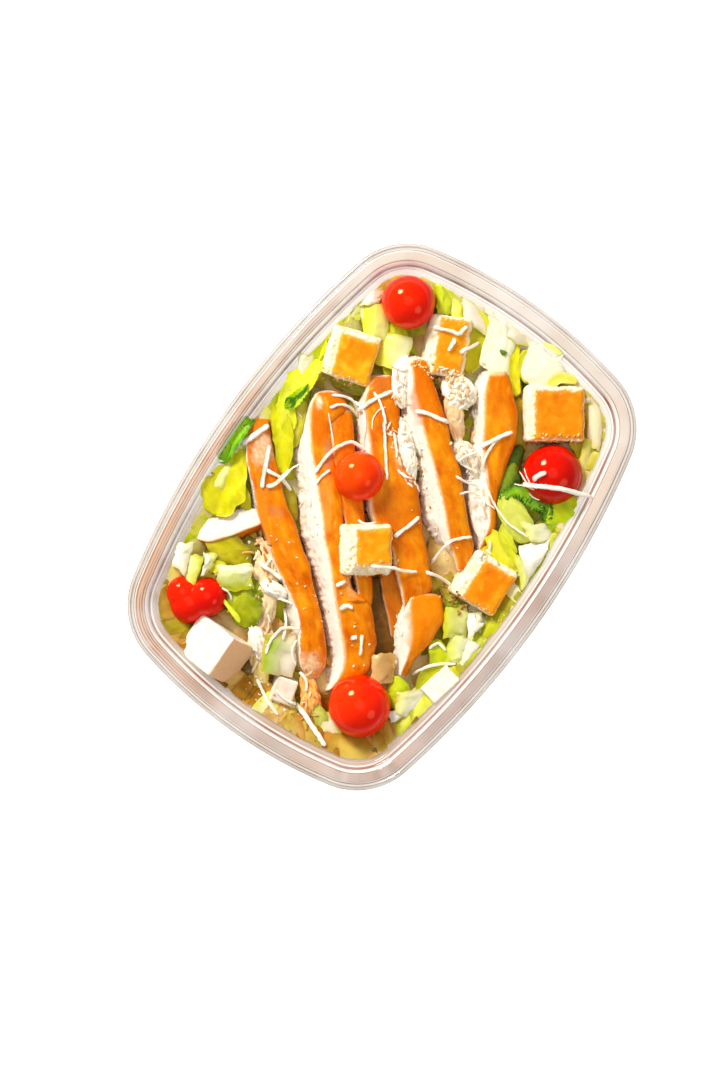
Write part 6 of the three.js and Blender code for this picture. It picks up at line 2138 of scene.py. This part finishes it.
make_lump("torn_brown_left", [(258, 538, 41.4, 7), (264, 560, 42.2, 10), (266, 590, 42.2, 11), (262, 622, 41.6, 10), (256, 650, 40.8, 8), (258, 668, 40.4, 7)], 8, 32, (234, 178, 112), (250, 218, 170), (170, 104, 44), TORN, "torn_chicken", ["torn_b"], 0.0, 0.7)
make_lump("torn_bit_near", [(304, 674, 41.2, 6), (309, 690, 41.4, 8), (311, 704, 41.2, 10), (310, 717, 40.2, 8)], 7, 33, (236, 150, 56), (248, 184, 96), (180, 100, 24), TORN, "torn_chicken", ["torn_c"], 0.0, 0.6)
make_lump("torn_pale_mid", [(394, 414, 43.4, 5), (400, 430, 44.8, 9), (404, 448, 45.2, 10), (408, 466, 45.2, 9), (412, 482, 44.4, 6)], 7, 34, *PALE_MEAT, TORN, "torn_chicken", [], 0.15, 0.5)
make_lump("torn_pale_low", [(474, 474, 43.4, 6), (478, 496, 43.8, 9), (482, 520, 43.2, 10), (486, 544, 42.2, 7)], 6, 35, *PALE_MEAT, TORN, "torn_chicken", [], 0.3, 0.5)
make_lump("torn_white_left", [(262, 582, 43.2, 4), (270, 587, 44.2, 6), (279, 592, 44.0, 6), (285, 598, 43.0, 4)], 4, 36, *PALE_MEAT, TORN, "torn_chicken", [], 0.1, 0.6)
make_lump("torn_white_low", [(252, 626, 42.0, 5), (257, 638, 43.0, 7), (262, 650, 42.6, 7), (262, 660, 41.6, 4)], 4, 37, *PALE_MEAT, TORN, "torn_chicken", [], 0.1, 0.7)
make_lump("torn_white_head", [(404, 354, 44.6, 5), (403, 364, 46.4, 8), (400, 378, 46.8, 8), (400, 396, 46.6, 6), (403, 408, 46.0, 4)], 5, 38, *PALE_MEAT, TORN, "torn_chicken", [], 0.5, 0.3)

tree = bvh()
rng = np.random.default_rng(77)
meat = Build()
DOWN = np.array([*(RIGHT * 0.25 - UP), 0.0])
S2_FACE = [(307, 412), (303, 440), (304, 470), (306, 500), (309, 530), (316, 560), (322, 590), (327, 620), (332, 650), (333, 675)]
S5_FACE = [(400, 366), (404, 391), (409, 417), (415, 444), (426, 470), (429, 497), (433, 524), (444, 546)]
S6_FACE = [(480, 384), (477, 413), (478, 444), (474, 472), (472, 500), (476, 530)]
S3_FACE = [(361, 405), (362, 440), (366, 470), (367, 500)]
S4_FACE = [(402, 610), (400, 630), (399, 655)]
for path, spread, count in ((S2_FACE, 7, 12), (S5_FACE, 7, 10), (S6_FACE, 7, 8), (S4_FACE, 5, 3)):
    places = scatter(tree, rng, count, *box_of(path, spread), along(path, spread))
    fibres(meat, places, rng, (1.6, 4.4), (0.2, 0.42), lie=DOWN, wild=0.45, lift=(-0.2, 0.1), colours=(WHITE, (255, 244, 226), (250, 226, 190)))
TORN_FAR = [(446, 380), (456, 394), (464, 412), (464, 434), (464, 456), (468, 474)]
fibres(meat, scatter(tree, rng, 12, *box_of(TORN_FAR, 13), along(TORN_FAR, 13)), rng, (2.5, 6.5), (0.4, 0.95), lift=(-0.7, 0.0), lie=DOWN, wild=0.55, colours=(WHITE, (255, 240, 222), (252, 226, 196), (236, 190, 146)))
CLUMP = [(444, 376), (456, 386), (468, 402)]
FLAKES = ((255, 248, 232), (255, 242, 220), (253, 230, 196), (240, 196, 148))
fibres(meat, scatter(tree, rng, 60, *box_of(CLUMP, 10), along(CLUMP, 10)), rng, (1.2, 3.6), (0.3, 0.75), lift=(-0.4, 0.3), wild=1.2, lie=DOWN, colours=FLAKES)
KNOT = [(456, 446), (466, 454), (474, 468)]
fibres(meat, scatter(tree, rng, 34, *box_of(KNOT, 8), along(KNOT, 8)), rng, (1.4, 4.0), (0.25, 0.6), lift=(-0.4, 0.2), wild=1.0, lie=DOWN, colours=FLAKES)
HEAD = [(401, 366), (400, 384), (402, 402)]
fibres(meat, scatter(tree, rng, 26, *box_of(HEAD, 7), along(HEAD, 7)), rng, (1.6, 4.6), (0.3, 0.65), lift=(-0.5, 0.0), wild=0.5, lie=DOWN, colours=FLAKES)
MID = [(396, 420), (404, 444), (414, 478)]
fibres(meat, scatter(tree, rng, 34, *box_of(MID, 11), along(MID, 11)), rng, (1.2, 3.4), (0.3, 0.65), lift=(-0.4, 0.2), wild=1.0, lie=DOWN, colours=FLAKES)
fibres(meat, scatter(tree, rng, 8, *box_of(MID, 10), along(MID, 10)), rng, (1.6, 4.6), (0.3, 0.6), lie=DOWN, wild=0.6, lift=(-0.3, 0.3), colours=(WHITE, (255, 240, 222), (250, 214, 170)))
LOW = [(470, 470), (478, 500), (484, 545)]
fibres(meat, scatter(tree, rng, 10, *box_of(LOW, 11), along(LOW, 11)), rng, (2.0, 6.0), (0.3, 0.65), lie=DOWN, wild=0.6, lift=(-0.3, 0.3), colours=(WHITE, (255, 240, 222), (250, 214, 170)))
LEFT = [(256, 540), (264, 570), (266, 600), (258, 640), (258, 668)]
fibres(meat, scatter(tree, rng, 12, *box_of(LEFT, 12), along(LEFT, 12)), rng, (2.0, 6.0), (0.3, 0.7), lie=DOWN, wild=0.7, colours=((250, 226, 190), (232, 176, 110), (206, 136, 66), (255, 244, 222)), lift=(-0.2, 0.6))
NEAR_BIT = [(306, 676), (311, 700), (310, 716)]
fibres(meat, scatter(tree, rng, 16, *box_of(NEAR_BIT, 9), along(NEAR_BIT, 9)), rng, (1.4, 3.6), (0.2, 0.45), colours=((246, 190, 110), (226, 140, 60), (255, 226, 180)), lift=(-0.2, 0.4))
meat.object("meat_fibres", TORN, "torn_chicken")

tree = bvh()
crumbs = Build()


def sprinkle(path, spread, count, size, colours):
    places = scatter(tree, rng, count, *box_of(path, spread), along(path, spread))
    pal = np.array([lin(c) for c in colours])
    blobs(crumbs, places, rng.uniform(*size, count), pal[rng.integers(len(pal), size=count)], rng)


PALE_BITS = [(255, 244, 220), (252, 226, 186), (244, 196, 140)]
sprinkle(S2_FACE, 12, 12, (0.18, 0.5), PALE_BITS)
sprinkle(S5_FACE, 11, 9, (0.18, 0.5), PALE_BITS)
sprinkle(TORN_FAR, 16, 10, (0.2, 0.6), PALE_BITS)
sprinkle(MID, 13, 8, (0.2, 0.5), PALE_BITS)
sprinkle([(282, 530), (296, 560), (306, 600)], 10, 12, (0.15, 0.34), PALE_BITS)
sprinkle([(346, 600), (362, 640), (360, 660)], 10, 8, (0.15, 0.4), PALE_BITS)
sprinkle(LEFT, 16, 16, (0.2, 0.55), PALE_BITS + [(206, 140, 70)])
sprinkle([(420, 500), (440, 545), (452, 590)], 16, 20, (0.15, 0.4), PALE_BITS + [(214, 130, 50)])
GOLD = [(255, 222, 150), (250, 190, 90), (255, 238, 196)]
sprinkle([(320, 372), (356, 384)], 6, 50, (0.15, 0.4), GOLD)
sprinkle([(430, 376), (468, 376)], 6, 40, (0.15, 0.4), GOLD)
sprinkle([(534, 440), (580, 438)], 6, 60, (0.15, 0.45), GOLD)
sprinkle([(350, 572), (392, 566)], 8, 60, (0.15, 0.5), GOLD)
sprinkle([(470, 608), (500, 616)], 6, 30, (0.15, 0.35), GOLD)
sprinkle([(444, 590), (462, 606)], 8, 50, (0.2, 0.5), [(176, 116, 40), (150, 96, 30), (214, 170, 90)])
sprinkle([(250, 680), (290, 712)], 12, 24, (0.2, 0.55), PALE_BITS + [(206, 150, 80)])
sprinkle([(414, 360), (428, 366)], 6, 34, (0.2, 0.5), GOLD)
blobs(crumbs, [drop(tree, 503.5, 352.5)], np.array([1.0]), lin((96, 128, 16))[None], rng, 0.35)
crumbs.object("crumbs", CHEESE, "torn_chicken", lies=False)

make_cheese(tree)

# ------------------------------------------------------------------ stage, light and camera


def make_stage():
    me = bpy.data.meshes.new("floor")
    s = 3.0
    me.from_pydata([(-s, -s, -0.0002), (s, -s, -0.0002), (s, s, -0.0002), (-s, s, -0.0002)], [], [(0, 1, 2, 3)])
    mat, nt, out = nodes_of("floor")
    b = nt.nodes.new("ShaderNodeBsdfPrincipled")
    b.inputs["Base Color"].default_value = (0.25, 0.25, 0.25, 1)
    b.inputs["Roughness"].default_value = 0.9
    b.inputs["Specular IOR Level"].default_value = 0.0
    b.inputs["Emission Color"].default_value = (1, 1, 1, 1)
    b.inputs["Emission Strength"].default_value = 1.0
    link(nt, b.outputs[0], out.inputs["Surface"])
    me.materials.append(mat)
    ob = bpy.data.objects.new("floor", me)
    bpy.context.scene.collection.objects.link(ob)


def light(name, direction, distance, radius, watts, colour=(1, 1, 1), shape="DISK"):
    right, up, z = direction
    d = np.array([*(RIGHT * right + UP * up), z])
    d /= np.linalg.norm(d)
    data = bpy.data.lights.new(name, "AREA")
    data.shape = shape
    data.size = radius * 2
    data.energy = watts
    data.color = colour
    ob = bpy.data.objects.new(name, data)
    ob.location = Vector(d * distance) + Vector((0, 0, 0.03))
    ob.rotation_euler = Vector(-d).to_track_quat("-Z", "Y").to_euler()
    bpy.context.scene.collection.objects.link(ob)
    return ob


make_stage()
light("key", (-0.49, 0.71, 0.56), 1.1, 0.17, 15, (1.0, 0.97, 0.93))
light("fill", (0.75, -0.55, 0.7), 1.2, 0.3, 2.2, (1.0, 0.96, 0.92))
light("top", (0.0, 0.1, 1.0), 1.5, 0.5, 2.5)

world = bpy.data.worlds.new("world")
bpy.context.scene.world = world
world.use_nodes = True
world.node_tree.nodes["Background"].inputs[0].default_value = (1.0, 0.985, 0.97, 1)
world.node_tree.nodes["Background"].inputs[1].default_value = 0.42

cam = bpy.data.cameras.new("camera")
cam.lens = LENS
cam.sensor_width = 36
cam.clip_end = 10
camera = bpy.data.objects.new("camera", cam)
camera.location = (EYE[0] / 1000, EYE[1] / 1000, HIGH / 1000)
camera.rotation_euler = (0, 0, math.atan2(RIGHT[1], RIGHT[0]))
bpy.context.scene.collection.objects.link(camera)
bpy.context.scene.camera = camera
bpy.context.scene.view_settings.view_transform = "Standard"
